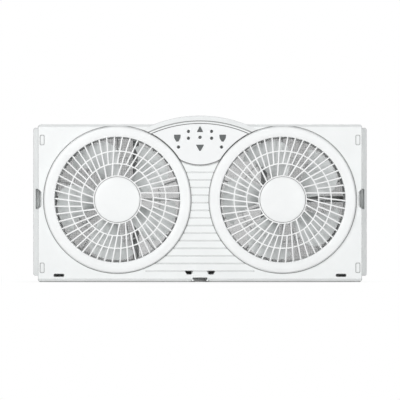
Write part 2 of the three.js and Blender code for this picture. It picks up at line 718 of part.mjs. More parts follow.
/** One drawn end bell, open towards the middle of the motor; facing is 1 with its end at the back. */
function motorBell(x, endY, facing) {
  const at = (depth) => endY - facing * depth;
  const bell = turned([
    [BUSH_R + FIT, at(0)],
    [MOTOR_R - BELL_WALL, at(0)],
    [MOTOR_R, at(BELL_WALL)],
    [MOTOR_R, at(BELL_LENGTH)],
    [MOTOR_R - BELL_WALL, at(BELL_LENGTH)],
    [MOTOR_R - BELL_WALL, at(BELL_WALL)],
    [BUSH_R + FIT, at(BELL_WALL)],
  ], MOTOR_SIDES);
  const holes = facing > 0
    ? motorScrewPlaces().map(([dx, dz]) => (
      bar(SCREW_HOLE_R, endY - BELL_WALL - CUT, endY + CUT, dx, dz, HOLE_SIDES)))
    : [];
  return cut(bell, ...holes).translate([x, 0, FAN_Z]);
}

const STATOR_BACK_Y = MOTOR_BACK_Y - BELL_LENGTH - FIT;
const STATOR_FRONT_Y = MOTOR_FRONT_Y + BELL_LENGTH + FIT;

/** Stack of stator laminations with its bore. */
function stator(x) {
  return turned([
    [STATOR_BORE_R, STATOR_FRONT_Y],
    [MOTOR_R, STATOR_FRONT_Y],
    [MOTOR_R, STATOR_BACK_Y],
    [STATOR_BORE_R, STATOR_BACK_Y],
  ], MOTOR_SIDES, x, FAN_Z);
}

/** Rotor core on the shaft, inside the stator. */
function rotor(x) {
  const r = STATOR_BORE_R * Math.cos(Math.PI / MOTOR_SIDES) - AIR_GAP;
  return turned([
    [SHAFT_R + FIT, STATOR_FRONT_Y],
    [r, STATOR_FRONT_Y],
    [r, STATOR_BACK_Y],
    [SHAFT_R + FIT, STATOR_BACK_Y],
  ], SMALL_SIDES, x, FAN_Z);
}

/** Sleeve bush in the end of a bell. */
function bush(x, endY, facing) {
  const bore = SHAFT_R / Math.cos(Math.PI / SMALL_SIDES) + BUSH_PLAY;
  return turned([
    [bore, endY],
    [BUSH_R, endY],
    [BUSH_R, endY - facing * BUSH_LENGTH],
    [bore, endY - facing * BUSH_LENGTH],
  ], SMALL_SIDES, x, FAN_Z);
}

/** Shaft from the rear bush to the nose of the nut. */
function shaft(x) {
  return bar(SHAFT_R, NUT_BACK_Y - NUT_LENGTH / 2, MOTOR_BACK_Y - BELL_WALL, x, FAN_Z, SMALL_SIDES);
}

// ---------------------------------------------------------------- impellers

const TIP_R = OPENING_R - TIP_GAP;

/** One twisted, cambered and swept blade about (0, 0), as a closed skin over a grid. */
function blade(start) {
  const spans = 4;
  const chords = 3;
  const rootR = HUB_R - HUB_WALL / 2;
  const midY = (HUB_FRONT_Y + HUB_BACK_Y) / 2;
  const points = [];
  for (const face of [-1, 1]) {
    for (let i = 0; i <= spans; i += 1) {
      for (let j = 0; j <= chords; j += 1) {
        const s = i / spans;
        const c = j / chords;
        const r = rootR + (TIP_R - rootR) * s;
        const axial = BLADE_ROOT_AXIAL + (BLADE_TIP_AXIAL - BLADE_ROOT_AXIAL) * s;
        const angle = start - BLADE_SWEEP * s * s + BLADE_ARC * (c - 0.5) * (0.75 + 0.25 * s);
        const camber = BLADE_CAMBER * 4 * c * (1 - c);
        const y = midY + axial * (0.5 - c) - camber + face * BLADE_THICK / 2;
        points.push(r * Math.sin(angle), y, r * Math.cos(angle));
      }
    }
  }
  const row = chords + 1;
  const sheet = (spans + 1) * row;
  const faces = [];
  const quad = (a, b, c, d) => faces.push(a, b, c, a, c, d);
  for (let i = 0; i < spans; i += 1) {
    for (let j = 0; j < chords; j += 1) {
      const a = i * row + j;
      quad(a, a + 1, a + row + 1, a + row);
      quad(sheet + a, sheet + a + row, sheet + a + row + 1, sheet + a + 1);
    }
  }
  const border = [
    ...Array.from({ length: chords }, (_, j) => j),
    ...Array.from({ length: spans }, (_, i) => i * row + chords),
    ...Array.from({ length: chords }, (_, j) => sheet - 1 - j),
    ...Array.from({ length: spans }, (_, i) => (spans - i) * row),
  ];
  border.forEach((a, i) => {
    const b = border[(i + 1) % border.length];
    quad(b, a, sheet + a, sheet + b);
  });
  const geometry = new THREE.BufferGeometry();
  geometry.setAttribute('position', new THREE.BufferAttribute(new Float32Array(points), 3));
  geometry.setIndex(faces);
  return solid(geometry);
}

/** Impeller: hollow hub with a boss on the shaft, and its blades. */
function impeller(x, phase) {
  const hub = turned([
    [SHAFT_R + FIT, HUB_FRONT_Y],
    [HUB_R * 0.8, HUB_FRONT_Y],
    [HUB_R, HUB_FRONT_Y + HUB_R * 0.2],
    [HUB_R, HUB_BACK_Y],
    [HUB_R - HUB_WALL, HUB_BACK_Y],
    [HUB_R - HUB_WALL, HUB_FRONT_Y + HUB_R * 0.2 + HUB_WALL],
    [HUB_BOSS_R, HUB_FRONT_Y + 2 * HUB_WALL],
    [HUB_BOSS_R, HUB_BACK_Y],
    [SHAFT_R + FIT, HUB_BACK_Y],
  ], MOTOR_SIDES);
  const blades = Array.from({ length: BLADES }, (_, i) => blade(phase + i * 2 * Math.PI / BLADES));
  return join(hub, ...blades).translate([x, 0, FAN_Z]);
}

/** Nut that holds an impeller on its shaft, with a blind bore. */
function impellerNut(x) {
  const front = NUT_BACK_Y - NUT_LENGTH;
  return turned([
    [0, front],
    [NUT_R * 0.6, front],
    [NUT_R, front + NUT_R * 0.4],
    [NUT_R, NUT_BACK_Y],
    [SHAFT_R + FIT, NUT_BACK_Y],
    [SHAFT_R + FIT, NUT_BACK_Y - NUT_LENGTH / 2 - FIT],
    [0, NUT_BACK_Y - NUT_LENGTH / 2 - FIT],
  ], SMALL_SIDES, x, FAN_Z);
}

// ---------------------------------------------------------------- extenders

const EXTENDER_Y0 = BACK_Y + SLIDE_GAP;
const EXTENDER_Y1 = EXTENDER_Y0 + EXTENDER_THICK;
const EXTENDER_INNER = CLOSED_HALF - EXTENDER_WIDTH;
const POST_FRONT_Y = REAR_Y - POST_DEPTH;
const PANES = [
  [EXTENDER_LOW + FRAME_BORDER, GRIP_Z - FRAME_BORDER / 2],
  [GRIP_Z + FRAME_BORDER / 2, EXTENDER_HIGH - FRAME_BORDER],
];
const PANE_INNER = EXTENDER_INNER + FRAME_BORDER;
const PANE_OUTER = BODY_HALF - FRAME_BORDER;

/** Extender: framed panel in the tracks and the post that meets the window jamb. */
function extender(sign) {
  const span = (a, b, y0, y1, z0, z1) => (
    sign > 0 ? block(a, b, y0, y1, z0, z1) : block(-b, -a, y0, y1, z0, z1));
  const panel = span(EXTENDER_INNER, CLOSED_HALF - POST_CHAMFER, EXTENDER_Y0, EXTENDER_Y1,
    EXTENDER_LOW, EXTENDER_HIGH);
  const inner = BODY_HALF + FIT;
  const c = POST_CHAMFER;
  const post = prismY(outline([
    [sign * inner, EXTENDER_LOW],
    [sign * (CLOSED_HALF - c), EXTENDER_LOW],
    [sign * CLOSED_HALF, EXTENDER_LOW + c],
    [sign * CLOSED_HALF, EXTENDER_HIGH - c],
    [sign * (CLOSED_HALF - c), EXTENDER_HIGH],
    [sign * inner, EXTENDER_HIGH],
  ]), POST_FRONT_Y, REAR_Y);
  const panes = PANES.map(([z0, z1]) => (
    span(PANE_INNER, PANE_OUTER, EXTENDER_Y0 - CUT, EXTENDER_Y1 + CUT, z0, z1)));
  const rebate = span(PANE_INNER - SCREEN_OVERLAP, PANE_OUTER + SCREEN_OVERLAP,
    EXTENDER_Y1 - SCREEN_THICK - FIT, EXTENDER_Y1 + CUT,
    PANES[0][0] - SCREEN_OVERLAP, PANES[1][1] + SCREEN_OVERLAP);
  const pocket = span(BODY_HALF - CUT, BODY_HALF + GRIP_DEPTH, POST_FRONT_Y - CUT,
    POST_FRONT_Y + GRIP_POCKET_DEPTH, GRIP_Z - GRIP_HEIGHT / 2, GRIP_Z + GRIP_HEIGHT / 2);
  return cut(join(panel, post), ...panes, rebate, pocket);
}

/** Insect screen in the rebate of an extender. */
function insectScreen(sign) {
  const reach = SCREEN_OVERLAP - FIT;
  const x0 = sign * (PANE_INNER - reach);
  const x1 = sign * (PANE_OUTER + reach);
  return block(Math.min(x0, x1), Math.max(x0, x1), EXTENDER_Y1 - SCREEN_THICK, EXTENDER_Y1,
    PANES[0][0] - reach, PANES[1][1] + reach);
}

// ---------------------------------------------------------------- controls

const SHIELD_Z = CROWN_Z - SHIELD.below;
const APERTURE_Z1 = CROWN_Z - APERTURE_TOP;
const APERTURE_Z0 = APERTURE_Z1 - APERTURE_HEIGHT;
const BOARD_POST_X = APERTURE_HALF_WIDTH + BOSS_R + FIT;
const SWITCH_FRONT_Y = BOARD_Y - SWITCH_SIZE / 2;
const STEM_END_Y = SWITCH_FRONT_Y - BUTTON_TRAVEL - STEM_TO_SWITCH;

/** Flat-topped shield that narrows to a blunt foot, about (0, 0), anticlockwise. */
function shieldCorners({ width, height }) {
  const w = width / 2;
  const h = height / 2;
  return [[w, h], [-w, h], [-w * 0.9, 0], [-w * 0.3, -h], [w * 0.3, -h], [w * 0.9, 0]];
}

/** Triangle with a blunt tip, about (0, 0), anticlockwise; up is 1 when it points up. */
function arrowCorners({ width, height }, up) {
  const w = width / 2 * up;
  const h = height / 2 * up;
  return [[-w, -h], [w, -h], [w * 0.15, h], [-w * 0.15, h]];
}

/** Anticlockwise convex corners moved outwards by a gap and placed at (x, z). */
function grown(corners, gap, x, z) {
  const last = corners.length - 1;
  const normals = corners.map(([u, v], i) => {
    const [u1, v1] = corners[i === last ? 0 : i + 1];
    const length = Math.hypot(u1 - u, v1 - v);
    return [(v1 - v) / length, (u - u1) / length];
  });
  return corners.map(([u, v], i) => {
    const [ax, az] = normals[i === 0 ? last : i - 1];
    const [bx, bz] = normals[i];
    const reach = gap / (1 + ax * bx + az * bz);
    return [x + u + reach * (ax + bx), z + v + reach * (az + bz)];
  });
}

const BUTTONS = [
  { name: 'button_left', x: -SHIELD.x, z: SHIELD_Z, corners: shieldCorners(SHIELD) },
  { name: 'button_right', x: SHIELD.x, z: SHIELD_Z, corners: shieldCorners(SHIELD) },
  { name: 'button_up', x: 0, z: CROWN_Z - UP_KEY.below, corners: arrowCorners(UP_KEY, 1) },
  { name: 'button_down', x: 0, z: CROWN_Z - DOWN_KEY.below, corners: arrowCorners(DOWN_KEY, -1) },
];
const FASCIA_FRONT_Y = PANEL_Y - FIT;
const KEY_BACK_Y = FASCIA_BACK_Y + 2 * FIT; // keys reach just behind the fascia

/** Fascia: thin plate in the seat of the panel, with holes for buttons and lamps. */
function controlFascia() {
  const shape = panelOutline(FASCIA_R, BEZEL_R + FASCIA_SIDE_GAP, TONGUE_R, PANEL_STEPS);
  const front = FASCIA_FRONT_Y - CUT;
  const back = FASCIA_BACK_Y + CUT;
  const keyHoles = BUTTONS.map(({ x, z, corners }) => (
    prismY(outline(grown(corners, FIT, x, z)), front, back)));
  const lampHoles = LAMPS.map(({ x, below }) => (
    bar(LAMP_R + FIT, front, back, x, CROWN_Z - below, HOLE_SIDES)));
  return cut(prismY(shape, FASCIA_FRONT_Y, FASCIA_BACK_Y), ...keyHoles, ...lampHoles);
}

/** Square hole or block for a button's stem. */
function stemBlock(x, z, size, y0, y1) {
  return block(x - size / 2, x + size / 2, y0, y1, z - size / 2, z + size / 2);
}

/** One button: shaped key and square stem. */
function button({ x, z, corners }) {
  const key = prismY(outline(grown(corners, 0, x, z)), FASCIA_FRONT_Y - BUTTON_PROUD, KEY_BACK_Y);
  const stem = stemBlock(x, z, STEM, FASCIA_BACK_Y + FIT, STEM_END_Y);
  return join(key, stem);
}

/** Light pipe: a clear plate behind the fascia with a pip for each lamp. */
function lightPipe() {
  const front = KEY_BACK_Y + BUTTON_TRAVEL + FIT;
  const back = front + PIPE_THICK;
  const plate = apertureBlock(FIT, front, back);
  const holes = BUTTONS.map(({ x, z }) => stemBlock(x, z, STEM + 2 * FIT, front - CUT, back + CUT));
  const pips = LAMPS.map(({ x, below }) => (
    bar(LAMP_R, FASCIA_FRONT_Y - FIT, front + PIPE_THICK / 2, x, CROWN_Z - below, HOLE_SIDES)));
  return join(cut(plate, ...holes), ...pips);
}

/** Circuit board with a tact switch behind each button. */
function controlBoard() {
  const half = APERTURE_HALF_WIDTH + 2 * BOSS_R + BOARD_MARGIN / 2;
  const plate = block(-half, half, BOARD_Y, BOARD_Y + BOARD_THICK, APERTURE_Z0 - BOARD_MARGIN,
    APERTURE_Z1);
  const switches = BUTTONS.map(({ x, z }) => (
    stemBlock(x, z, SWITCH_SIZE, SWITCH_FRONT_Y, BOARD_Y + BOARD_THICK / 2)));
  return join(plate, ...switches);
}

// ---------------------------------------------------------------- fasteners and electrics

/** Pan-head screw driven from the back. */
function screw(x, z, seatY, length) {
  return turned([
    [0, seatY - length],
    [SCREW.shankR, seatY - length],
    [SCREW.shankR, seatY],
    [SCREW.headR, seatY],
    [SCREW.headR * 0.8, seatY + SCREW.headHeight],
    [0, seatY + SCREW.headHeight],
  ], HOLE_SIDES, x, z);
}

/** Spool-shaped gland in the end wall of the lead chamber. */
function leadGland() {
  const front = CHAMBER_END_Y - FIT;
  const back = CHAMBER_END_Y + WALL + FIT;
  return turned([
    [GLAND.boreR, front - GLAND.flange],
    [GLAND.flangeR, front - GLAND.flange],
    [GLAND.flangeR, front],
    [GLAND.neckR, front],
    [GLAND.neckR, back],
    [GLAND.flangeR, back],
    [GLAND.flangeR, back + GLAND.flange],
    [GLAND.boreR, back + GLAND.flange],
  ], SMALL_SIDES, 0, GLAND_Z);
}

/** Run capacitor on the inside of the back plate. */
function capacitor(sign) {
  const x = sign * CAPACITOR.x;
  const back = PLATE_Y - FIT;
  return block(x - CAPACITOR.width / 2, x + CAPACITOR.width / 2, back - CAPACITOR.depth, back,
    CAPACITOR.up - CAPACITOR.height / 2, CAPACITOR.up + CAPACITOR.height / 2);
}

/** Lead of one motor: along the guard, up beside the centre line, and to the board. */
function motorLead(sign) {
  const y = GUARD_FRONT_Y - FIT - LEAD_R;
  const boardY = BOARD_Y + BOARD_THICK + FIT;
  const joinZ = APERTURE_Z0 + BOARD_MARGIN;
  const route = new THREE.CatmullRomCurve3([
    [FAN_X - MOTOR_R - FIT, y, FAN_Z],
    [FAN_X - MOTOR_R - 20, y, FAN_Z],
    [FAN_X * 0.5, y, FAN_Z],
    [LEAD_X + 18, y, FAN_Z + 4],
    [LEAD_X, y, FAN_Z + 24],
    [LEAD_X, y, joinZ - 22],
    [LEAD_X, y - 9, joinZ - 3],
    [LEAD_X, (y + boardY) / 2, joinZ],
    [LEAD_X, boardY, joinZ],
  ].map(([px, py, pz]) => new THREE.Vector3(sign * px, py, pz)), false, 'centripetal');
  const section = outline(arc(0, 0, LEAD_R, 0, 2 * Math.PI, 6).slice(0, -1));
  return solid(new THREE.ExtrudeGeometry(section, { extrudePath: route, steps: 18, bevelEnabled: false }));
}

// ---------------------------------------------------------------- finishes

const finish = (color, roughness, metalness = 0) => (
  new THREE.MeshStandardMaterial({ color, roughness, metalness }));
const FINISHES = {
  shell: finish(0xf2f4f3, 0.45),
  grille: finish(0xf6f7f6, 0.4),
  fascia: finish(0xf3f4f4, 0.35),
  key: finish(0x8f9493, 0.5),
  lens: finish(0x6f7574, 0.25),
  blade: finish(0xc9cdcc, 0.45),
  screen: finish(0x9aa09f, 0.8),
  steel: finish(0xb4b7ba, 0.35, 1),
  lamination: finish(0x75797d, 0.5, 0.9),
  bronze: finish(0xa67c46, 0.45, 0.9),
  board: finish(0x2e6b45, 0.6),
  capacitor: finish(0x2b2d30, 0.5),
  lead: finish(0xe4e6e5, 0.6),
  rubber: finish(0x3c3f41, 0.8),
};

/** A named mesh of one solid. */
function node(name, body, material) {
  const mesh = new THREE.Mesh(geometryOf(body), material);
  mesh.name = name;
  return mesh;
}

// ---------------------------------------------------------------- assembly

const fan = new THREE.Group();

fan.add(node('front_housing', frontHousing(), FINISHES.shell));
fan.add(node('rear_housing', rearHousing(), FINISHES.shell));
fan.add(node('control_fascia', controlFascia(), FINISHES.fascia));
fan.add(node('light_pipe', lightPipe(), FINISHES.lens));
fan.add(node('control_board', controlBoard(), FINISHES.board));
fan.add(node('lead_gland', leadGland(), FINISHES.rubber));
BUTTONS.forEach((key) => fan.add(node(key.name, button(key), FINISHES.key)));

SIDES.forEach(({ name, sign, x }) => {
  fan.add(node(`front_grille_${name}`, frontGrille(x), FINISHES.grille));
  fan.add(node(`grille_bezel_${name}`, grilleBezel(x), FINISHES.grille));
  fan.add(node(`grille_cap_${name}`, grilleCap(x), FINISHES.grille));
  fan.add(node(`fan_shroud_${name}`, fanShroud(x), FINISHES.shell));
  fan.add(node(`rear_guard_${name}`, rearGuard(x), FINISHES.grille));
  fan.add(node(`rear_screen_${name}`, rearScreen(x), FINISHES.screen));
  fan.add(node(`impeller_${name}`, impeller(x, BLADE_PHASE[name]), FINISHES.blade));
  fan.add(node(`impeller_nut_${name}`, impellerNut(x), FINISHES.blade));
  fan.add(node(`motor_shaft_${name}`, shaft(x), FINISHES.steel));
  fan.add(node(`rotor_${name}`, rotor(x), FINISHES.lamination));
  fan.add(node(`stator_${name}`, stator(x), FINISHES.lamination));
  fan.add(node(`motor_front_bell_${name}`, motorBell(x, MOTOR_FRONT_Y, -1), FINISHES.steel));
  fan.add(node(`motor_rear_bell_${name}`, motorBell(x, MOTOR_BACK_Y, 1), FINISHES.steel));
  fan.add(node(`front_bush_${name}`, bush(x, MOTOR_FRONT_Y, -1), FINISHES.bronze));
  fan.add(node(`rear_bush_${name}`, bush(x, MOTOR_BACK_Y, 1), FINISHES.bronze));
  fan.add(node(`capacitor_${name}`, capacitor(sign), FINISHES.capacitor));
  fan.add(node(`motor_lead_${name}`, motorLead(sign), FINISHES.lead));
  fan.add(node(`extender_${name}`, extender(sign), FINISHES.shell));
  fan.add(node(`insect_screen_${name}`, insectScreen(sign), FINISHES.screen));
  motorScrewPlaces().forEach(([dx, dz], i) => {
    const body = screw(x + dx, FAN_Z + dz, GUARD_BACK_Y + FIT, GUARD_THICK + BELL_WALL + 2 * FIT + 1);
    fan.add(node(`motor_screw_${name}_${i + 1}`, body, FINISHES.steel));
  });
});

BOSSES.forEach(([x, z], i) => {
  const seat = BACK_Y - HEAD_SINK + FIT;
  const body = screw(x, z, seat, seat - SPLIT_Y + SCREW_GRIP);
  fan.add(node(`housing_screw_${i + 1}`, body, FINISHES.steel));
});

export default fan;
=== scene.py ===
"""Looks of a twin window fan, dressed round its solid model.

Metres. +X is to the right of someone facing the front, +Y points to the back and +Z up.
Outlines are drawn in X and Z, side profiles in Y and Z, and turned profiles as radius and depth.
"""

from __future__ import annotations

import logging
import math
from dataclasses import dataclass
from enum import Enum, IntEnum

import bmesh
import bpy
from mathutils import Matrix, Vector


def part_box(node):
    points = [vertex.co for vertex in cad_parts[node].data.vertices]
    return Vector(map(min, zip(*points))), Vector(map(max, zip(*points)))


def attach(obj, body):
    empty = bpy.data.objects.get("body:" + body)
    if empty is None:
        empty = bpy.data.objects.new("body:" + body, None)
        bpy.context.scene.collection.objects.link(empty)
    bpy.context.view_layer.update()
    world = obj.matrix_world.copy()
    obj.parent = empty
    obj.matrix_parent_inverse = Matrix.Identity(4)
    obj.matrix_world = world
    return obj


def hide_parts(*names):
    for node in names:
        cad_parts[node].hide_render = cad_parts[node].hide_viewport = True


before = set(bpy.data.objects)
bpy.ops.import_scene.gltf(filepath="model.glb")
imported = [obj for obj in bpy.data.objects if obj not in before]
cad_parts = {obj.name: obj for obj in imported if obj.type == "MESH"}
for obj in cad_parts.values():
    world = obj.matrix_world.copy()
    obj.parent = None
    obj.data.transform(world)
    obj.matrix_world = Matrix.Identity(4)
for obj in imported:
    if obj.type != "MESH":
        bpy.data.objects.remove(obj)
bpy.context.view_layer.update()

LOG = logging.getLogger("window_fan")

MM = 0.001
FIT = 0.3 * MM  # gap between seated pieces
REVEAL = 0.7 * MM  # shadow gap moulded round a seated piece
CUT = 2.0 * MM  # how far a cutting solid runs past the face it cuts
ON_AXIS = 1e-7  # a smaller radius lies on the axis
SCREW_HOLE_R = 1.9 * MM
PLAIN = 32.0  # degrees, the least angle that stays an edge on a flat-sided piece
CURVED = 40.0  # the same on a piece with bent blades or spokes
SHARP = 50.0  # the same on a small crowned piece
EASED = 28.0  # degrees, the least angle that is rounded off
FULL_TURN = 2 * math.pi
QUARTER_TURN = math.pi / 2

Point = tuple[float, float]
Outline = list[Point]
Colour = tuple[float, float, float]


class Sides(IntEnum):
    """Flat sides that a round gets, by what it is."""

    ARCH = 360
    BEZEL = 180
    OPENING = 144
    HUB = 96
    MOTOR = 72
    PIN = 32
    BOSS = 28
    HOLE = 24
    VENT = 16


class Side(Enum):
    """The two ends of the fan, as seen from the front."""

    LEFT = -1
    RIGHT = 1

    @property
    def word(self) -> str:
        """The word used in piece names."""
        return self.name.lower()


class Along(Enum):
    """The axis that an outline is extruded along."""

    X = "x"
    Y = "y"

    def place(self, u: float, v: float, w: float) -> Vector:
        """A point of an outline at (u, v), w along the axis."""
        return Vector((w, u, v)) if self is Along.X else Vector((u, w, v))


class Mix(Enum):
    """How solids are combined."""

    JOIN = "UNION"
    CUT = "DIFFERENCE"
    KEEP = "INTERSECT"


# ------------------------------------------------------------------ outlines


def arc(centre: Point, radius: float, start: float, end: float, steps: int) -> Outline:
    """Points on an arc, from a start to an end angle in radians.

    Args:
        centre: Middle of the circle.
        radius: Its radius.
        start: First angle.
        end: Last angle.
        steps: Number of chords.

    Returns:
        The points, both ends included.
    """
    turns = [start + (end - start) * i / steps for i in range(steps + 1)]
    return [(centre[0] + radius * math.cos(a), centre[1] + radius * math.sin(a)) for a in turns]


def ring(centre: Point, radius: float, steps: int) -> Outline:
    """A full circle of points."""
    return arc(centre, radius, 0.0, FULL_TURN, steps)[:-1]


def quarter(steps: int) -> list[float]:
    """Even angles from 0 to a quarter turn, both included."""
    return [QUARTER_TURN * i / steps for i in range(steps + 1)]


def motor_screws(centre: Point) -> Outline:
    """Places of the three screws of a motor about its axis."""
    circle = 27 * MM
    return arc(centre, circle, QUARTER_TURN, QUARTER_TURN + FULL_TURN, 3)[:-1]


def crossing(c0: Point, r0: float, c1: Point, r1: float, upper: bool) -> Point:
    """One of the two points where two circles cross.

    Args:
        c0: Middle of the first circle.
        r0: Its radius.
        c1: Middle of the second circle.
        r1: Its radius.
        upper: Whether the higher point is wanted.

    Returns:
        The chosen point.
    """
    dx, dz = c1[0] - c0[0], c1[1] - c0[1]
    reach = math.hypot(dx, dz)
    along = (r0 * r0 - r1 * r1 + reach * reach) / (2 * reach)
    off = math.sqrt(r0 * r0 - along * along)
    mid = (c0[0] + along * dx / reach, c0[1] + along * dz / reach)
    found = [
        (mid[0] + off * dz / reach, mid[1] - off * dx / reach),
        (mid[0] - off * dz / reach, mid[1] + off * dx / reach),
    ]
    return max(found, key=lambda p: p[1]) if upper else min(found, key=lambda p: p[1])


def filleted(corners: Outline, radius: float, steps: int = 4) -> Outline:
    """An outline with each corner rounded.

    Args:
        corners: Corners of the outline.
        radius: Fillet radius, cut down where an edge is short.
        steps: Chords in each fillet.

    Returns:
        The rounded outline.
    """
    made: Outline = []
    count = len(corners)
    for i, corner in enumerate(corners):
        here = Vector(corner)
        before = Vector(corners[i - 1]) - here
        after = Vector(corners[(i + 1) % count]) - here
        half = before.angle(after) / 2
        reach = min(radius / math.tan(half), before.length * 0.45, after.length * 0.45)
        start = here + before.normalized() * reach
        end = here + after.normalized() * reach
        for j in range(steps + 1):
            t = j / steps
            point = start * (1 - t) ** 2 + here * (2 * t * (1 - t)) + end * t**2
            made.append((point.x, point.y))
    return made


def moved(outline: Outline, dx: float, dz: float) -> Outline:
    """An outline shifted sideways and up."""
    return [(x + dx, z + dz) for x, z in outline]


def scaled(outline: Outline, factor: float) -> Outline:
    """An outline scaled about its origin."""
    return [(x * factor, z * factor) for x, z in outline]


def rectangle(x0: float, x1: float, z0: float, z1: float) -> Outline:
    """Corners of a rectangle."""
    return [(x0, z0), (x1, z0), (x1, z1), (x0, z1)]


def plate_at(centre: Point, half_width: float, half_height: float) -> Outline:
    """Corners of a rectangle about a centre."""
    x, z = centre
    return rectangle(x - half_width, x + half_width, z - half_height, z + half_height)


def middle_of(node: str) -> Point:
    """Middle of a solid, in X and Z."""
    low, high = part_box(node)
    return ((low.x + high.x) / 2, (low.z + high.z) / 2)


# ------------------------------------------------------------------ meshes


def piece_of(name: str, maker: bmesh.types.BMesh) -> bpy.types.Object:
    """Turn a mesh under construction into an object of the scene.

    Args:
        name: Name of the object.
        maker: The finished bmesh, freed here.

    Returns:
        The object.
    """
    bmesh.ops.recalc_face_normals(maker, faces=maker.faces)
    mesh = bpy.data.meshes.new(name)
    maker.to_mesh(mesh)
    maker.free()
    piece = bpy.data.objects.new(name, mesh)
    bpy.context.scene.collection.objects.link(piece)
    return piece


def add_loft(maker: bmesh.types.BMesh, stations: list[list[Vector]], strips: bool = False) -> None:
    """Add a closed skin through rings of points.

    Args:
        maker: Mesh that takes the skin.
        stations: Rings of points, all of one count.
        strips: Whether the ends close as strips between the two halves of a ring.
    """
    rings = [[maker.verts.new(point) for point in station] for station in stations]
    for low, high in zip(rings, rings[1:]):
        for i in range(len(low)):
            j = (i + 1) % len(low)
            maker.faces.new((low[i], low[j], high[j], high[i]))
    for end in (list(reversed(rings[0])), rings[-1]):
        last = len(end) - 1
        if not strips:
            maker.faces.new(end)
            continue
        for i in range(len(end) // 2 - 1):
            maker.faces.new((end[i], end[i + 1], end[last - i - 1], end[last - i]))


def prism(outline: Outline, low: float, high: float, along: Along = Along.Y) -> bpy.types.Object:
    """Extrude an outline from one depth to another.

    Args:
        outline: Corners of the outline.
        low: First depth.
        high: Last depth.
        along: Axis of the extrusion.

    Returns:
        The solid.
    """
    maker = bmesh.new()
    stations = [[along.place(u, v, w) for u, v in outline] for w in (low, high)]
    add_loft(maker, stations)
    return piece_of("prism", maker)


def turned(profile: Outline, centre: Point, steps: int) -> bpy.types.Object:
    """Turn a closed profile of (radius, depth) about an axis along Y.

    Args:
        profile: Corners of the profile; a radius of 0 lies on the axis.
        centre: The axis, in X and Z.
        steps: Sides of the round.

    Returns:
        The solid.
    """
    maker = bmesh.new()
    rows = []
    for radius, depth in profile:
        around = 1 if radius < ON_AXIS else steps
        points = ring(centre, radius, steps)[:around]
        rows.append([maker.verts.new((x, depth, z)) for x, z in points])
    for i, row in enumerate(rows):
        following = rows[(i + 1) % len(rows)]
        if len(row) == 1 and len(following) == 1:
            continue
        for j in range(steps):
            k = (j + 1) % steps
            corners = [row[j % len(row)], row[k % len(row)]]
            corners += [following[k % len(following)], following[j % len(following)]]
            maker.faces.new(list(dict.fromkeys(corners)))
    return piece_of("turned", maker)


def settled(piece: bpy.types.Object) -> bpy.types.Object:
    """Apply a piece's modifiers to its mesh."""
    graph = bpy.context.evaluated_depsgraph_get()
    mesh = bpy.data.meshes.new_from_object(piece.evaluated_get(graph))
    piece.modifiers.clear()
    piece.data = mesh
    return piece


def mixed(piece: bpy.types.Object, mix: Mix, *tools: bpy.types.Object) -> bpy.types.Object:
    """Combine a piece with other solids, which are used up.

    Args:
        piece: The solid that is kept.
        mix: How each tool acts on it.
        tools: The other solids.

    Returns:
        The piece.
    """
    for tool in tools:
        modifier = piece.modifiers.new(mix.name, "BOOLEAN")
        modifier.operation = mix.value
        modifier.solver = "MANIFOLD"
        modifier.object = tool
    bpy.context.view_layer.update()
    settled(piece)
    for tool in tools:
        bpy.data.objects.remove(tool)
    return piece


def gathered(pieces: list[bpy.types.Object]) -> bpy.types.Object:
    """Put separate solids into one mesh without mixing them."""
    maker = bmesh.new()
    for piece in pieces:
        maker.from_mesh(piece.data)
        bpy.data.objects.remove(piece)
    return piece_of("gathered", maker)


def bars(
    places: Outline, radius: float, low: float, high: float, sides: int = Sides.HOLE
) -> bpy.types.Object:
    """Round bars along Y at several places, as one mesh.

    Args:
        places: Their axes, in X and Z.
        radius: Radius of each.
        low: First depth.
        high: Last depth.
        sides: Sides of the round.

    Returns:
        The bars.
    """
    return gathered([prism(ring(at, radius, sides), low, high) for at in places])


def shifted(piece: bpy.types.Object, centre: Point) -> bpy.types.Object:
    """Move a mesh made about the origin to an axis in X and Z."""
    for vertex in piece.data.vertices:
        vertex.co.x += centre[0]
        vertex.co.z += centre[1]
    return piece


def eased(piece: bpy.types.Object, width: float, segments: int = 2) -> bpy.types.Object:
    """Round a solid's sharp edges.

    Args:
        piece: The solid.
        width: Width of the rounding.
        segments: Faces across it.

    Returns:
        The piece.
    """
    bevel = piece.modifiers.new("ease", "BEVEL")
    bevel.limit_method = "ANGLE"
    bevel.angle_limit = math.radians(EASED)
    bevel.width = width
    bevel.segments = segments
    return settled(piece)


def shaded(piece: bpy.types.Object, angle: float = PLAIN) -> bpy.types.Object:
    """Shade a piece smooth, except over edges sharper than an angle in degrees."""
    piece.data.shade_smooth()
    piece.data.set_sharp_from_angle(angle=math.radians(angle))
    weigh = piece.modifiers.new("weigh", "WEIGHTED_NORMAL")
    weigh.keep_sharp = True
    return settled(piece)


# ------------------------------------------------------------------ finishes


SEAM_SHADE = (0.85, 0.3)  # openness at which a seam starts to grey, and at which it is greyest
EDGE_SHADE = (0.97, 0.6)  # the same for an outer edge, looking into the solid
NOISE_RANGE = (0.3, 0.7)  # where most values of a noise lie
WAVE_BAND = 0.314  # width of one band of a wave texture of scale 1


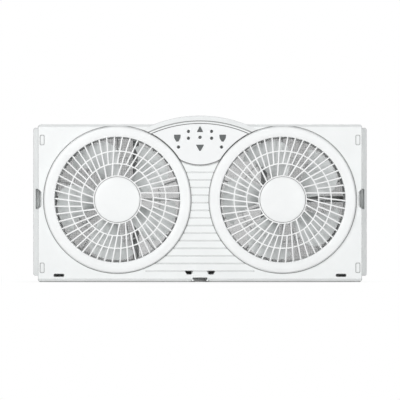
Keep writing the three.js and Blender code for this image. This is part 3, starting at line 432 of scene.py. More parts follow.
class Nodes:
    """A material's node tree under construction."""

    def __init__(self, name: str) -> None:
        """Start a material with a bare shader.

        Args:
            name: Name of the material.
        """
        self.material = bpy.data.materials.new(name)
        self.material.use_nodes = True
        self.tree = self.material.node_tree
        self.shader = self.tree.nodes["Principled BSDF"]
        self.place = self.add("ShaderNodeTexCoord").outputs["Object"]

    def add(self, kind: str, **settings: object) -> bpy.types.Node:
        """Add a node and set what it is given."""
        made = self.tree.nodes.new(kind)
        for key, value in settings.items():
            setattr(made, key, value)
        return made

    def link(self, source: bpy.types.NodeSocket, target: bpy.types.NodeSocket) -> None:
        """Join two sockets."""
        self.tree.links.new(source, target)

    def noise(self, size: float, detail: float = 3.0) -> bpy.types.NodeSocket:
        """Cloudy noise with patches of about a real size in metres."""
        made = self.add("ShaderNodeTexNoise")
        made.inputs["Scale"].default_value = 1.0 / size
        made.inputs["Detail"].default_value = detail
        self.link(self.place, made.inputs["Vector"])
        return made.outputs["Fac"]

    def ranged(
        self, value: bpy.types.NodeSocket, start: Point, end: Point, **settings: object
    ) -> bpy.types.NodeSocket:
        """A value mapped from one range to another.

        Args:
            value: The value.
            start: The range that it is mapped from.
            end: The range that it is mapped to.
            settings: Settings of the node.

        Returns:
            The mapped value.
        """
        made = self.add("ShaderNodeMapRange", **settings)
        made.inputs["From Min"].default_value = start[0]
        made.inputs["From Max"].default_value = start[1]
        made.inputs["To Min"].default_value = end[0]
        made.inputs["To Max"].default_value = end[1]
        self.link(value, made.inputs["Value"])
        return made.outputs["Result"]

    def span(self, value: bpy.types.NodeSocket, low: float, high: float) -> bpy.types.NodeSocket:
        """A noise value mapped from its usual middle range to a span."""
        return self.ranged(value, NOISE_RANGE, (low, high))

    def blend(
        self, share: bpy.types.NodeSocket, first: Colour | bpy.types.NodeSocket, second: Colour
    ) -> bpy.types.NodeSocket:
        """A colour between two, by a share from 0 to 1.

        Args:
            share: Share of the second colour.
            first: The first colour, fixed or from a socket.
            second: The second colour.

        Returns:
            The mixed colour.
        """
        made = self.add("ShaderNodeMix", data_type="RGBA")
        start, end = (socket for socket in made.inputs if socket.type == "RGBA")
        if isinstance(first, bpy.types.NodeSocket):
            self.link(first, start)
        else:
            start.default_value = (*first, 1.0)
        end.default_value = (*second, 1.0)
        self.link(share, made.inputs["Factor"])
        return next(socket for socket in made.outputs if socket.type == "RGBA")

    def crevices(
        self, reach: float, strength: float, inside: bool = False
    ) -> bpy.types.NodeSocket:
        """A share of painted shade that grows in seams and corners, or else towards outer edges.

        Args:
            reach: How far a neighbouring surface still counts.
            strength: The share in the deepest seam.
            inside: Whether it looks into the solid, and so finds its outer edges.

        Returns:
            The share.
        """
        shade = self.add("ShaderNodeAmbientOcclusion", samples=8, inside=inside)
        shade.inputs["Distance"].default_value = reach
        start = EDGE_SHADE if inside else SEAM_SHADE
        return self.ranged(shade.outputs["AO"], start, (0.0, strength))

    def paint(self, colour: bpy.types.NodeSocket, gloss: bpy.types.NodeSocket) -> None:
        """Give the shader its colour and roughness."""
        self.link(colour, self.shader.inputs["Base Color"])
        self.link(gloss, self.shader.inputs["Roughness"])

    def bump(self, height: bpy.types.NodeSocket, depth: float) -> None:
        """Raise the surface by a height texture, to a depth in metres."""
        made = self.add("ShaderNodeBump")
        made.inputs["Strength"].default_value = 1.0
        made.inputs["Distance"].default_value = depth
        self.link(height, made.inputs["Height"])
        self.link(made.outputs["Normal"], self.shader.inputs["Normal"])


def dimmed(colour: Colour, factor: float) -> Colour:
    """A colour times a factor."""
    return tuple(part * factor for part in colour)


@dataclass(frozen=True)
class Plastic:
    """Moulded plastic: spark-eroded grain, cloudy tone, uneven gloss, and painted shade in seams
    and at outer edges.
    """

    name: str
    colour: Colour
    roughness: float = 0.45
    uneven: tuple[float, float] = (-0.05, 0.06)  # how far smears change the roughness
    grain: float = 0.7 * MM
    grain_depth: float = 0.012 * MM
    tone: float = 0.965  # darkest share of the colour
    cloud: float = 45 * MM
    specular: float = 0.4
    seam: float = 0.0  # how strongly painted shade greys the colour in seams
    seam_reach: float = 2.5 * MM
    seam_tone: float = 0.35
    rub: float = 0.0  # how strongly painted shade greys the colour at outer edges
    painted_edge_reach: float = 1.3 * MM
    painted_edge_tone: float = 0.12

    def material(self) -> bpy.types.Material:
        """Build the material."""
        nodes = Nodes(self.name)
        share = nodes.span(nodes.noise(self.cloud), 0.0, 1.0)
        colour = nodes.blend(share, self.colour, dimmed(self.colour, self.tone))
        # painted shade: greys the colour in seams and corners, where nearby surfaces close in
        if self.seam > 0:
            seams = nodes.crevices(self.seam_reach, self.seam)
            colour = nodes.blend(seams, colour, dimmed(self.colour, self.seam_tone))
        # painted shade: greys the colour towards outer edges, standing in for edges turning from
        # the light
        if self.rub > 0:
            edges = nodes.crevices(self.painted_edge_reach, self.rub, inside=True)
            colour = nodes.blend(edges, colour, dimmed(self.colour, self.painted_edge_tone))
        smooth, rough = (self.roughness + change for change in self.uneven)
        nodes.paint(colour, nodes.span(nodes.noise(self.cloud / 6), smooth, rough))
        nodes.bump(nodes.noise(self.grain, detail=2.0), self.grain_depth)
        nodes.shader.inputs["Specular IOR Level"].default_value = self.specular
        return nodes.material


@dataclass(frozen=True)
class Netting:
    """Coated thread that lets some light through."""

    name: str
    colour: Colour
    tone: float = 0.7  # darkest share of the colour
    roughness: tuple[float, float] = (0.5, 0.7)
    through: float = 0.45  # share of the light that passes
    patch: float = 3 * MM

    def material(self) -> bpy.types.Material:
        """Build the material."""
        nodes = Nodes(self.name)
        share = nodes.span(nodes.noise(self.patch), 0.0, 1.0)
        colour = nodes.blend(share, self.colour, dimmed(self.colour, self.tone))
        nodes.paint(colour, nodes.span(nodes.noise(self.patch), *self.roughness))
        glow = nodes.add("ShaderNodeBsdfTranslucent")
        nodes.link(colour, glow.inputs["Color"])
        mix = nodes.add("ShaderNodeMixShader")
        mix.inputs["Fac"].default_value = self.through
        nodes.link(nodes.shader.outputs["BSDF"], mix.inputs[1])
        nodes.link(glow.outputs["BSDF"], mix.inputs[2])
        nodes.link(mix.outputs["Shader"], nodes.tree.nodes["Material Output"].inputs["Surface"])
        return nodes.material


@dataclass(frozen=True)
class Metal:
    """Metal with fine drawn or turned lines across one axis."""

    name: str
    colour: Colour
    roughness: float = 0.35
    uneven: tuple[float, float] = (-0.08, 0.1)  # how far the lines change the roughness
    tone: float = 0.82  # darkest share of the colour
    line: float = 2 * MM
    line_depth: float = 0.006 * MM
    stretch: tuple[float, float, float] = (1.0, 12.0, 1.0)

    def material(self) -> bpy.types.Material:
        """Build the material."""
        nodes = Nodes(self.name)
        mapping = nodes.add("ShaderNodeMapping")
        mapping.inputs["Scale"].default_value = self.stretch
        nodes.link(nodes.place, mapping.inputs["Vector"])
        nodes.place = mapping.outputs["Vector"]
        lines = nodes.noise(self.line, detail=4.0)
        share = nodes.span(lines, 0.0, 1.0)
        colour = nodes.blend(share, self.colour, dimmed(self.colour, self.tone))
        smooth, rough = (self.roughness + change for change in self.uneven)
        nodes.paint(colour, nodes.span(lines, smooth, rough))
        nodes.bump(lines, self.line_depth)
        nodes.shader.inputs["Metallic"].default_value = 1.0
        return nodes.material


@dataclass(frozen=True)
class Laminations:
    """Stacked sheet steel: thin dark joints between level sheets."""

    name: str
    colour: Colour
    joint: float = 0.45  # share of the colour left in a joint
    sheet: float = 0.5 * MM
    groove: float = 0.03 * MM
    wander: float = 0.2  # how far the joints run off level
    roughness: tuple[float, float] = (0.4, 0.6)
    patch: float = 3 * MM
    metallic: float = 0.8

    def material(self) -> bpy.types.Material:
        """Build the material."""
        nodes = Nodes(self.name)
        wave = nodes.add("ShaderNodeTexWave", bands_direction="Y")
        wave.inputs["Scale"].default_value = WAVE_BAND / self.sheet
        wave.inputs["Distortion"].default_value = self.wander
        nodes.link(nodes.place, wave.inputs["Vector"])
        bands = wave.outputs["Fac"]
        colour = nodes.blend(bands, dimmed(self.colour, self.joint), self.colour)
        nodes.paint(colour, nodes.span(nodes.noise(self.patch), *self.roughness))
        nodes.bump(bands, self.groove)
        nodes.shader.inputs["Metallic"].default_value = self.metallic
        return nodes.material


@dataclass(frozen=True)
class BoardLaminate:
    """Circuit board: solder mask with darker copper runs under it."""

    name: str
    mask: Colour
    run: Colour
    pitch: float = 5 * MM
    run_width: float = 0.08  # share of the pitch
    run_height: float = 0.03 * MM
    roughness: tuple[float, float] = (0.35, 0.5)
    patch: float = 2 * MM

    def material(self) -> bpy.types.Material:
        """Build the material."""
        nodes = Nodes(self.name)
        cells = nodes.add("ShaderNodeTexVoronoi", feature="DISTANCE_TO_EDGE", distance="MANHATTAN")
        cells.inputs["Scale"].default_value = 1.0 / self.pitch
        nodes.link(nodes.place, cells.inputs["Vector"])
        runs = nodes.ranged(cells.outputs["Distance"], (0.0, self.run_width), (0.0, 1.0))
        colour = nodes.blend(runs, self.run, self.mask)
        nodes.paint(colour, nodes.span(nodes.noise(self.patch), *self.roughness))
        nodes.bump(runs, self.run_height)
        return nodes.material


@dataclass(frozen=True)
class Palette:
    """Every finish of the fan, made once."""

    shell: bpy.types.Material
    post: bpy.types.Material
    grille: bpy.types.Material
    bezel: bpy.types.Material
    fascia: bpy.types.Material
    key: bpy.types.Material
    lens: bpy.types.Material
    blade: bpy.types.Material
    screen: bpy.types.Material
    steel: bpy.types.Material
    lamination: bpy.types.Material
    bronze: bpy.types.Material
    board: bpy.types.Material
    capacitor: bpy.types.Material
    lead: bpy.types.Material
    rubber: bpy.types.Material

    @classmethod
    def mixed(cls) -> Palette:
        """Mix the finishes."""
        white = (0.88, 0.895, 0.89)
        finishes = {
            "shell": Plastic("shell_white", white, seam=0.9, rub=1.0),
            # the end panels' white: the shell's colour with weaker painted seam shade and narrower
            # painted edge shade
            "post": Plastic("post_white", white, seam=0.35, rub=0.9, painted_edge_reach=0.9 * MM),
            "grille": Plastic("grille_white", (0.94, 0.945, 0.94), 0.36, grain=0.4 * MM, seam=0.9),
            "bezel": Plastic("bezel_white", (0.90, 0.91, 0.905), 0.38, grain=0.5 * MM, seam=0.7),
            "fascia": Plastic(
                "fascia_satin", (0.87, 0.88, 0.88), 0.42, grain=0.25 * MM, tone=0.98, seam=0.7
            ),
            "key": Plastic("key_grey", (0.13, 0.14, 0.14), 0.55, grain=0.3 * MM, tone=0.8),
            "lens": Plastic("lens_smoked", (0.06, 0.065, 0.065), 0.18, tone=0.7, specular=0.6),
            "blade": Plastic("blade_grey", (0.75, 0.77, 0.765), 0.4, cloud=20 * MM, tone=0.93),
            "screen": Netting("screen_thread", (0.55, 0.56, 0.56)),
            "steel": Metal("zinc_steel", (0.58, 0.59, 0.61)),
            "lamination": Laminations("lamination_steel", (0.3, 0.31, 0.33)),
            "bronze": Metal("bush_bronze", (0.6, 0.43, 0.22), 0.45, stretch=(1.0, 1.0, 1.0)),
            "board": BoardLaminate("board_green", (0.05, 0.22, 0.1), (0.03, 0.13, 0.06)),
            "capacitor": Plastic("capacitor_black", (0.03, 0.032, 0.035), 0.4, tone=0.7),
            "lead": Plastic("lead_sheath", (0.75, 0.76, 0.75), 0.5, grain=0.3 * MM),
            "rubber": Plastic("gland_rubber", (0.78, 0.79, 0.79), 0.65, grain=0.5 * MM, tone=0.9),
        }
        return cls(**{name: finish.material() for name, finish in finishes.items()})


def dressed(
    piece: bpy.types.Object,
    name: str,
    body: str,
    material: bpy.types.Material,
    slot: str,
    *nodes: str,
) -> bpy.types.Object:
    """Name, paint and place a finished piece on its body.

    Args:
        piece: The piece.
        name: Its name in the scene.
        body: The body that it rides on.
        material: Its finish.
        slot: The material slot of the record that it belongs to; not used.
        nodes: The solids that it stands for.

    Returns:
        The piece.
    """
    piece.name = name
    piece.data.name = name
    piece.data.materials.clear()
    piece.data.materials.append(material)
    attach(piece, body)
    if nodes:
        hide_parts(*nodes)
    LOG.info("built %s: %d faces", name, len(piece.data.polygons))
    return piece


# ------------------------------------------------------------------ layout


@dataclass(frozen=True)
class Layout:
    """Main places of the fan, read from its solids."""

    body_half: float
    body_top: float
    crown_z: float
    panel_y: float
    face_y: float
    split_y: float
    rear_y: float
    fan_x: float
    fan_z: float
    bezel_r: float
    wall: float = 2.5 * MM
    opening_r: float = 112.4 * MM
    grip_depth: float = 5.4 * MM
    grip_height: float = 35.6 * MM
    grip_up: float = 1.1 * MM  # middle of a finger grip above the axes of the fans

    @classmethod
    def measured(cls) -> Layout:
        """Read the places from the frame."""
        front_low, front_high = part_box("front_housing")
        rear_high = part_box("rear_housing")[1]
        ring_low, ring_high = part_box("grille_bezel_right")
        return cls(
            body_half=front_high.x,
            body_top=rear_high.z,
            crown_z=front_high.z,
            panel_y=front_low.y,
            face_y=ring_high.y + FIT,
            split_y=front_high.y,
            rear_y=rear_high.y,
            fan_x=(ring_low.x + ring_high.x) / 2,
            fan_z=(ring_low.z + ring_high.z) / 2,
            bezel_r=(ring_high.x - ring_low.x) / 2,
        )

    @property
    def grip_z(self) -> float:
        """Height of the middle of the finger grips."""
        return self.fan_z + self.grip_up

    def axis(self, side: Side) -> Point:
        """The axis of one fan, in X and Z."""
        return (side.value * self.fan_x, self.fan_z)


# ------------------------------------------------------------------ housing


@dataclass
class Panel:
    """Outline of the panel between the rings, shared by the shell and the fascia."""

    layout: Layout
    arch_r: float = 229 * MM
    arch_bevel: float = 9.5 * MM
    arch_band: float = 5 * MM  # flat band between the bevel and the fascia
    tongue_r: float = 72 * MM
    tongue_depth: float = 87.4 * MM
    fascia_gap: float = 1.6 * MM
    steps: int = 28

    @property
    def arch_z(self) -> float:
        """Height of the middle of the arch's circle."""
        return self.layout.crown_z - self.arch_r

    @property
    def fascia_r(self) -> float:
        """Radius of the fascia's upper edge."""
        return self.arch_r - self.arch_bevel - self.arch_band

    def outline(self, arch_r: float, side_r: float, tongue_r: float) -> Outline:
        """Arch above, ring circles beside and tongue below.

        Args:
            arch_r: Radius of the upper edge.
            side_r: Radius of the side edges about the fans.
            tongue_r: Radius of the lower edge.

        Returns:
            The closed outline.
        """
        arch = (0.0, self.arch_z)
        tongue = (0.0, self.layout.crown_z - self.tongue_depth + self.tongue_r)
        fan = self.layout.axis(Side.RIGHT)
        top = crossing(arch, arch_r, fan, side_r, True)
        foot = crossing(fan, side_r, tongue, tongue_r, False)

        def bearing(centre: Point, point: Point) -> float:
            """Angle of a point about a centre."""
            return math.atan2(point[1] - centre[1], point[0] - centre[0])

        right = arc(arch, arch_r, QUARTER_TURN, bearing(arch, top), self.steps)
        right += arc(fan, side_r, bearing(fan, top), bearing(fan, foot), self.steps)[1:]
        right += arc(tongue, tongue_r, bearing(tongue, foot), -QUARTER_TURN, self.steps)[1:]
        left = [(-x, z) for x, z in reversed(right[1:-1])]
        return right + left


@dataclass
class Housing:
    """Front and rear shells, and the shrouds round the impellers."""

    layout: Layout
    panel: Panel
    top_chamfer: float = 4 * MM
    bottom_chamfer: float = 5.7 * MM
    corner_chamfer: float = 3 * MM
    panel_rim: float = 2.4 * MM
    groove_pitch: float = 13.6 * MM
    groove_count: int = 14
    groove_bottom: float = 19.5 * MM
    groove_width: float = 2.2 * MM
    groove_depth: float = 0.9 * MM
    pocket: tuple[float, float, float] = (7 * MM, 17 * MM, 1.2 * MM)  # width, height, depth
    pocket_fillet: float = 1.6 * MM
    pocket_in: float = 7.4 * MM
    pocket_heights: tuple[float, float] = (25.4 * MM, 254.2 * MM)
    foot_window: tuple[float, float] = (17.5 * MM, 4.5 * MM)
    foot_window_fillet: float = 1.2 * MM
    foot_window_at: Point = (252.5 * MM, 12 * MM)
    mid_window: tuple[float, float, float] = (14.3 * MM, 6 * MM, 3.4 * MM)  # width, height, taper
    mid_window_fillet: float = 0.8 * MM
    mid_window_at: Point = (19.7 * MM, 16.9 * MM)
    notch_top: float = 13 * MM
    notch_foot: float = 9.3 * MM
    notch_height: float = 7.5 * MM
    chamber_height: float = 17.1 * MM
    chamber_depth: float = 30 * MM
    gland_z: float = 9.8 * MM
    gland_hole_r: float = 5.3 * MM
    shroud_flange: float = 9 * MM
    rail_floor: float = 10.2 * MM
    rail_ceiling: float = 5.1 * MM
    lip: float = 7 * MM
    track: float = 10 * MM
    shroud_lead_in: float = 1.2 * MM
    screw_sink_r: float = 3.7 * MM
    screw_sink: float = 2.8 * MM
    boss_r: float = 4.2 * MM
    boss_in: float = 20 * MM
    boss_up: float = 14 * MM
    middle_bosses: tuple[float, float] = (44 * MM, 82 * MM)  # above the foot, below the top
    screw_grip: float = 14 * MM
    seat_land: float = 2.5 * MM
    aperture_half: float = 49 * MM
    aperture_below: float = 18.6 * MM
    aperture_height: float = 47 * MM
    board_thick: float = 1.6 * MM
    line_width: float = 0.7 * MM
    ease: float = 0.7 * MM
    inner_ease: float = 0.1 * MM

    @property
    def axes(self) -> list[Point]:
        """Axes of both fans."""
        return [self.layout.axis(side) for side in Side]

    @property
    def bosses(self) -> list[Point]:
        """Places of the screws that hold the shells together."""
        half, top = self.layout.body_half, self.layout.body_top
        heights = (self.boss_up, top - self.boss_up)
        corners = [(s * (half - self.boss_in), z) for s in (-1, 1) for z in heights]
        low, high = self.middle_bosses
        return [*corners, (0.0, low), (0.0, top - high)]

    def body_outline(self, inset: float) -> Outline:
        """Front outline with a finger notch in each side, drawn in by an inset."""
        corner = self.corner_chamfer - inset * (2 - math.sqrt(2))
        side = self.layout.body_half - inset
        low, high = inset, self.layout.body_top - inset
        grip_z, deep = self.layout.grip_z, self.layout.grip_depth
        reach = self.layout.grip_height / 2 + inset * math.tan(math.pi / 8)
        half = [
            (side - corner, low),
            (side, low + corner),
            (side, grip_z - reach),
            (side - deep, grip_z - reach + deep),
            (side - deep, grip_z + reach - deep),
            (side, grip_z + reach),
            (side, high - corner),
            (side - corner, high),
        ]
        return half + [(-x, z) for x, z in reversed(half)]

    def side_profile(self, inset: float, back: float) -> Outline:
        """Side profile of the front shell, drawn in by an inset, up to a back depth."""
        loss = inset * (2 - math.sqrt(2))
        face = self.layout.face_y + inset
        low, high = inset, self.layout.body_top - inset
        return [
            (face, low + self.bottom_chamfer - loss),
            (face + self.bottom_chamfer - loss, low),
            (back, low),
            (back, high),
            (face + self.top_chamfer - loss, high),
            (face, high - self.top_chamfer + loss),
        ]

    def arch(self, inset: float, back: float, ease: float) -> bpy.types.Object:
        """The arch: a bevelled disc kept above the tongue.

        Args:
            inset: How far it is drawn in.
            back: Its back depth.
            ease: Chamfer of its front edges.

        Returns:
            The solid.
        """
        lay, panel = self.layout, self.panel
        face, front = lay.face_y + inset, lay.panel_y + inset
        radius = panel.arch_r - inset
        edge = filleted(
            [
                (radius / 2, front),
                (radius - panel.arch_bevel, front),
                (radius, face),
                (radius, back),
                (radius / 2, back),
            ],
            ease,
        )
        middle = (0.0, panel.arch_z)
        disc = turned([(0.0, edge[0][1]), *edge, (0.0, back)], middle, Sides.ARCH)
        stations = []
        for depth, drawn in ((face + lay.wall, 0.0), (front + ease, 0.0), (front - ease, 2 * ease)):
            shape = panel.outline(
                panel.arch_r + CUT,
                lay.bezel_r + FIT + inset + drawn,
                panel.tongue_r + self.panel_rim - inset - drawn,
            )
            stations.append([Vector((x, depth, z)) for x, z in shape])
        maker = bmesh.new()
        add_loft(maker, stations)
        front_part = piece_of("front", maker)
        top_low = lay.body_top - self.top_chamfer - inset
        wide = rectangle(-panel.arch_r, panel.arch_r, top_low, lay.crown_z + CUT)
        top_part = prism(wide, face, back + CUT)
        return mixed(disc, Mix.KEEP, mixed(front_part, Mix.JOIN, top_part))

    def windows(self) -> bpy.types.Object:
        """Pockets and snap windows of the face, as one cutting solid."""
        face, through = self.layout.face_y, self.layout.face_y + self.layout.wall + CUT
        width, height, depth = self.pocket
        pocket = filleted(plate_at((0.0, 0.0), width / 2, height / 2), self.pocket_fillet)
        width, height = self.foot_window
        foot = filleted(plate_at((0.0, 0.0), width / 2, height / 2), self.foot_window_fillet)
        width, height, taper = self.mid_window
        boat = [
            (taper - width / 2, -height / 2),
            (width / 2 - taper, -height / 2),
            (width / 2, height / 2),
            (-width / 2, height / 2),
        ]
        column = self.layout.body_half - self.pocket_in
        cuts = [(pocket, (column, z), face + depth) for z in self.pocket_heights]
        cuts.append((foot, self.foot_window_at, through))
        cuts.append((filleted(boat, self.mid_window_fillet), self.mid_window_at, through))
        made = [
            prism(moved(outline, side.value * at[0], at[1]), face - CUT, end)
            for side in Side
            for outline, at, end in cuts
        ]
        return gathered(made)

    def grooves(self) -> bpy.types.Object:
        """Shallow level grooves between the rings, as one cutting solid."""
        face = self.layout.face_y
        reach = self.layout.bezel_r + FIT + self.groove_width
        made = []
        for i in range(self.groove_count):
            z = self.groove_bottom + i * self.groove_pitch
            half_width = self.groove_width / 2
            rise = min(abs(z - self.layout.fan_z) + half_width, reach)
            half = self.layout.fan_x - math.sqrt(reach * reach - rise * rise)
            half = min(half, self.layout.body_half / 3)
            profile = [
                (face - CUT, z - half_width),
                (face, z - half_width),
                (face + self.groove_depth, z),
                (face, z + half_width),
                (face - CUT, z + half_width),
            ]
            made.append(prism(profile, -half, half, Along.X))
        return gathered(made)

    def reveals(self) -> bpy.types.Object:
        """Shadow gaps round the bezels, as one cutting solid."""
        lay = self.layout
        made = []
        for side in Side:
            profile = [
                (lay.bezel_r - CUT, lay.panel_y - CUT),
                (lay.bezel_r + REVEAL, lay.panel_y - CUT),
                (lay.bezel_r + REVEAL, lay.face_y + REVEAL),
                (lay.bezel_r - CUT, lay.face_y + REVEAL),
            ]
            made.append(turned(profile, lay.axis(side), Sides.BEZEL))
        return gathered(made)

    def arch_line(self) -> bpy.types.Object:
        """Fine groove between the bevel and the flat band of the arch."""
        lay, panel = self.layout, self.panel
        radius, half = panel.arch_r - panel.arch_bevel, self.line_width / 2
        profile = [
            (radius - half, lay.panel_y - CUT),
            (radius + half, lay.panel_y - CUT),
            (radius + half, lay.panel_y + self.line_width),
            (radius - half, lay.panel_y + self.line_width),
        ]
        return turned(profile, (0.0, panel.arch_z), Sides.ARCH)

    def aperture(self) -> bpy.types.Object:
        """The opening behind the fascia."""
        lay, panel = self.layout, self.panel
        shape = panel.outline(
            panel.fascia_r - self.seat_land,
            lay.bezel_r + panel.fascia_gap + self.seat_land,
            panel.tongue_r - self.seat_land,
        )
        low, high = lay.panel_y, lay.face_y + lay.wall + CUT
        half, top = self.aperture_half, lay.crown_z - self.aperture_below
        window = rectangle(-half, half, top - self.aperture_height, top)
        return mixed(prism(shape, low, high), Mix.KEEP, prism(window, low - CUT, high + CUT))

    def bulk(self) -> bpy.types.Object:
        """Front shell without its openings: skirt, face, arch, bosses and lead chamber."""
        lay = self.layout
        half, past = lay.body_half, lay.split_y + CUT
        body = prism(self.side_profile(0.0, past), -half, half, Along.X)
        front = prism(self.body_outline(0.0), lay.face_y - CUT, past + CUT)
        outer = eased(mixed(body, Mix.KEEP, front), self.ease)
        outer = mixed(outer, Mix.JOIN, self.arch(0.0, past, self.ease))
        room = prism(
            self.side_profile(lay.wall, past + CUT), lay.wall - half, half - lay.wall, Along.X
        )
        inside = prism(self.body_outline(lay.wall), lay.face_y, past + 2 * CUT)
        inner = mixed(room, Mix.KEEP, inside)
        inner = mixed(
            inner, Mix.JOIN, self.arch(lay.wall, lay.split_y - lay.wall, self.inner_ease)
        )
        bosses = bars(self.bosses, self.boss_r, lay.face_y + lay.wall / 2, past, Sides.BOSS)
        board_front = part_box("control_board")[1].y - self.board_thick
        post_x, post_z = self.aperture_half + self.boss_r + FIT, middle_of("button_left")[1]
        posts = bars(
            [(side.value * post_x, post_z) for side in Side],
            self.boss_r,
            lay.panel_y + lay.wall / 2,
            board_front - FIT,
            Sides.BOSS,
        )
        top = self.notch_top + lay.wall
        chamber = prism(
            rectangle(-top, top, lay.wall / 2, self.chamber_height + lay.wall),
            lay.face_y + lay.wall / 2,
            lay.face_y + self.chamber_depth + lay.wall,
        )
        shell = mixed(outer, Mix.CUT, inner)
        shell = mixed(shell, Mix.JOIN, gathered([bosses, posts]), chamber)
        wide = rectangle(-2 * half, 2 * half, -half, 2 * half)
        return mixed(shell, Mix.KEEP, prism(wide, lay.face_y - half, lay.split_y))

    def front_shell(self, palette: Palette) -> None:
        """Face, skirt, arch, grooves, notches and windows."""
        lay, panel = self.layout, self.panel
        chamber_end = lay.face_y + self.chamber_depth
        chamber_front = lay.face_y + self.bottom_chamfer + lay.wall / 2
        top = self.notch_top
        seat = prism(
            panel.outline(
                panel.fascia_r + REVEAL,
                lay.bezel_r + panel.fascia_gap - FIT,
                panel.tongue_r + REVEAL,
            ),
            lay.panel_y - CUT,
            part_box("control_fascia")[1].y + FIT,
        )
        past_face = lay.face_y + lay.wall + CUT
        openings = bars(self.axes, lay.opening_r, lay.face_y - CUT, past_face, Sides.OPENING)
        notch = prism(
            [
                (-self.notch_foot, -CUT),
                (self.notch_foot, -CUT),
                (self.notch_foot, 0.0),
                (top, self.notch_height),
                (-top, self.notch_height),
                (-self.notch_foot, 0.0),
            ],
            lay.face_y - CUT,
            chamber_front + CUT,
        )
        room = prism(rectangle(-top, top, -CUT, self.chamber_height), chamber_front, chamber_end)
        gland_end = chamber_end + lay.wall + CUT
        gland_hole = prism(
            ring((0.0, self.gland_z), self.gland_hole_r, Sides.PIN), chamber_end - CUT, gland_end
        )
        screw_holes = bars(
            self.bosses, SCREW_HOLE_R, lay.split_y - self.screw_grip, lay.split_y + CUT
        )
        shell = mixed(self.bulk(), Mix.CUT, seat, self.aperture(), openings)
        shell = mixed(shell, Mix.CUT, self.grooves(), self.windows(), self.reveals())
        shell = mixed(shell, Mix.CUT, self.arch_line())
        shell = mixed(shell, Mix.CUT, notch, room, gland_hole, screw_holes)
        dressed(shaded(shell), "front_shell", "housing", palette.shell, "shell", "front_housing")

    def rear_shell(self, palette: Palette) -> None:
        """Back plate, skirt, screw tubes and the tracks of the extenders."""
        lay = self.layout
        start = lay.split_y + FIT
        back = lay.rear_y - self.track - lay.wall
        plate = back - lay.wall
        wide = lay.body_half + CUT
        floor, ceiling = self.rail_floor, lay.body_top - self.rail_ceiling
        shell = eased(prism(self.body_outline(0.0), start, lay.rear_y), self.ease)
        inside = prism(self.body_outline(lay.wall), start - CUT, plate)
        track = prism(rectangle(-wide, wide, floor, ceiling), back, lay.rear_y - lay.wall)
        mouth = rectangle(-wide, wide, floor + self.lip, ceiling - self.lip)
        open_back = prism(mouth, back + CUT, lay.rear_y + CUT)
        openings = bars(self.axes, lay.opening_r, plate - CUT, back + CUT, Sides.OPENING)
        shell = mixed(shell, Mix.CUT, inside, track, open_back, openings)
        tubes = bars(self.bosses, self.boss_r, start, plate + lay.wall / 2, Sides.BOSS)
        shell = mixed(shell, Mix.JOIN, tubes)
        shanks = bars(self.bosses, SCREW_HOLE_R, start - CUT, back + CUT)
        sinks = bars(
            self.bosses, self.screw_sink_r, back - self.screw_sink, back + CUT, Sides.BOSS
        )
        shell = mixed(shell, Mix.CUT, shanks, sinks)
        dressed(shaded(shell), "rear_shell", "housing", palette.shell, "shell", "rear_housing")

    def shroud(self, side: Side, palette: Palette) -> None:
        """The tube round one impeller, with its flange behind the face."""
        lay = self.layout
        front, lead_in = lay.face_y + lay.wall + FIT, self.shroud_lead_in
        flange = lay.opening_r + self.shroud_flange
        profile = [
            (lay.opening_r + lead_in, front),
            (flange, front),
            (flange, front + lay.wall),
            (lay.opening_r + lay.wall, front + lay.wall),
            (lay.opening_r + lay.wall, lay.split_y),
            (lay.opening_r, lay.split_y),
            (lay.opening_r, front + lead_in),
        ]
        tube = turned(profile, lay.axis(side), Sides.OPENING)
        node = f"fan_shroud_{side.word}"
        dressed(shaded(tube), f"shroud_{side.word}", "housing", palette.shell, "shell", node)

    def build(self, palette: Palette) -> None:
        """Build both shells and both shrouds."""
        self.front_shell(palette)
        self.rear_shell(palette)
        for side in Side:
            self.shroud(side, palette)


# ------------------------------------------------------------------ grilles


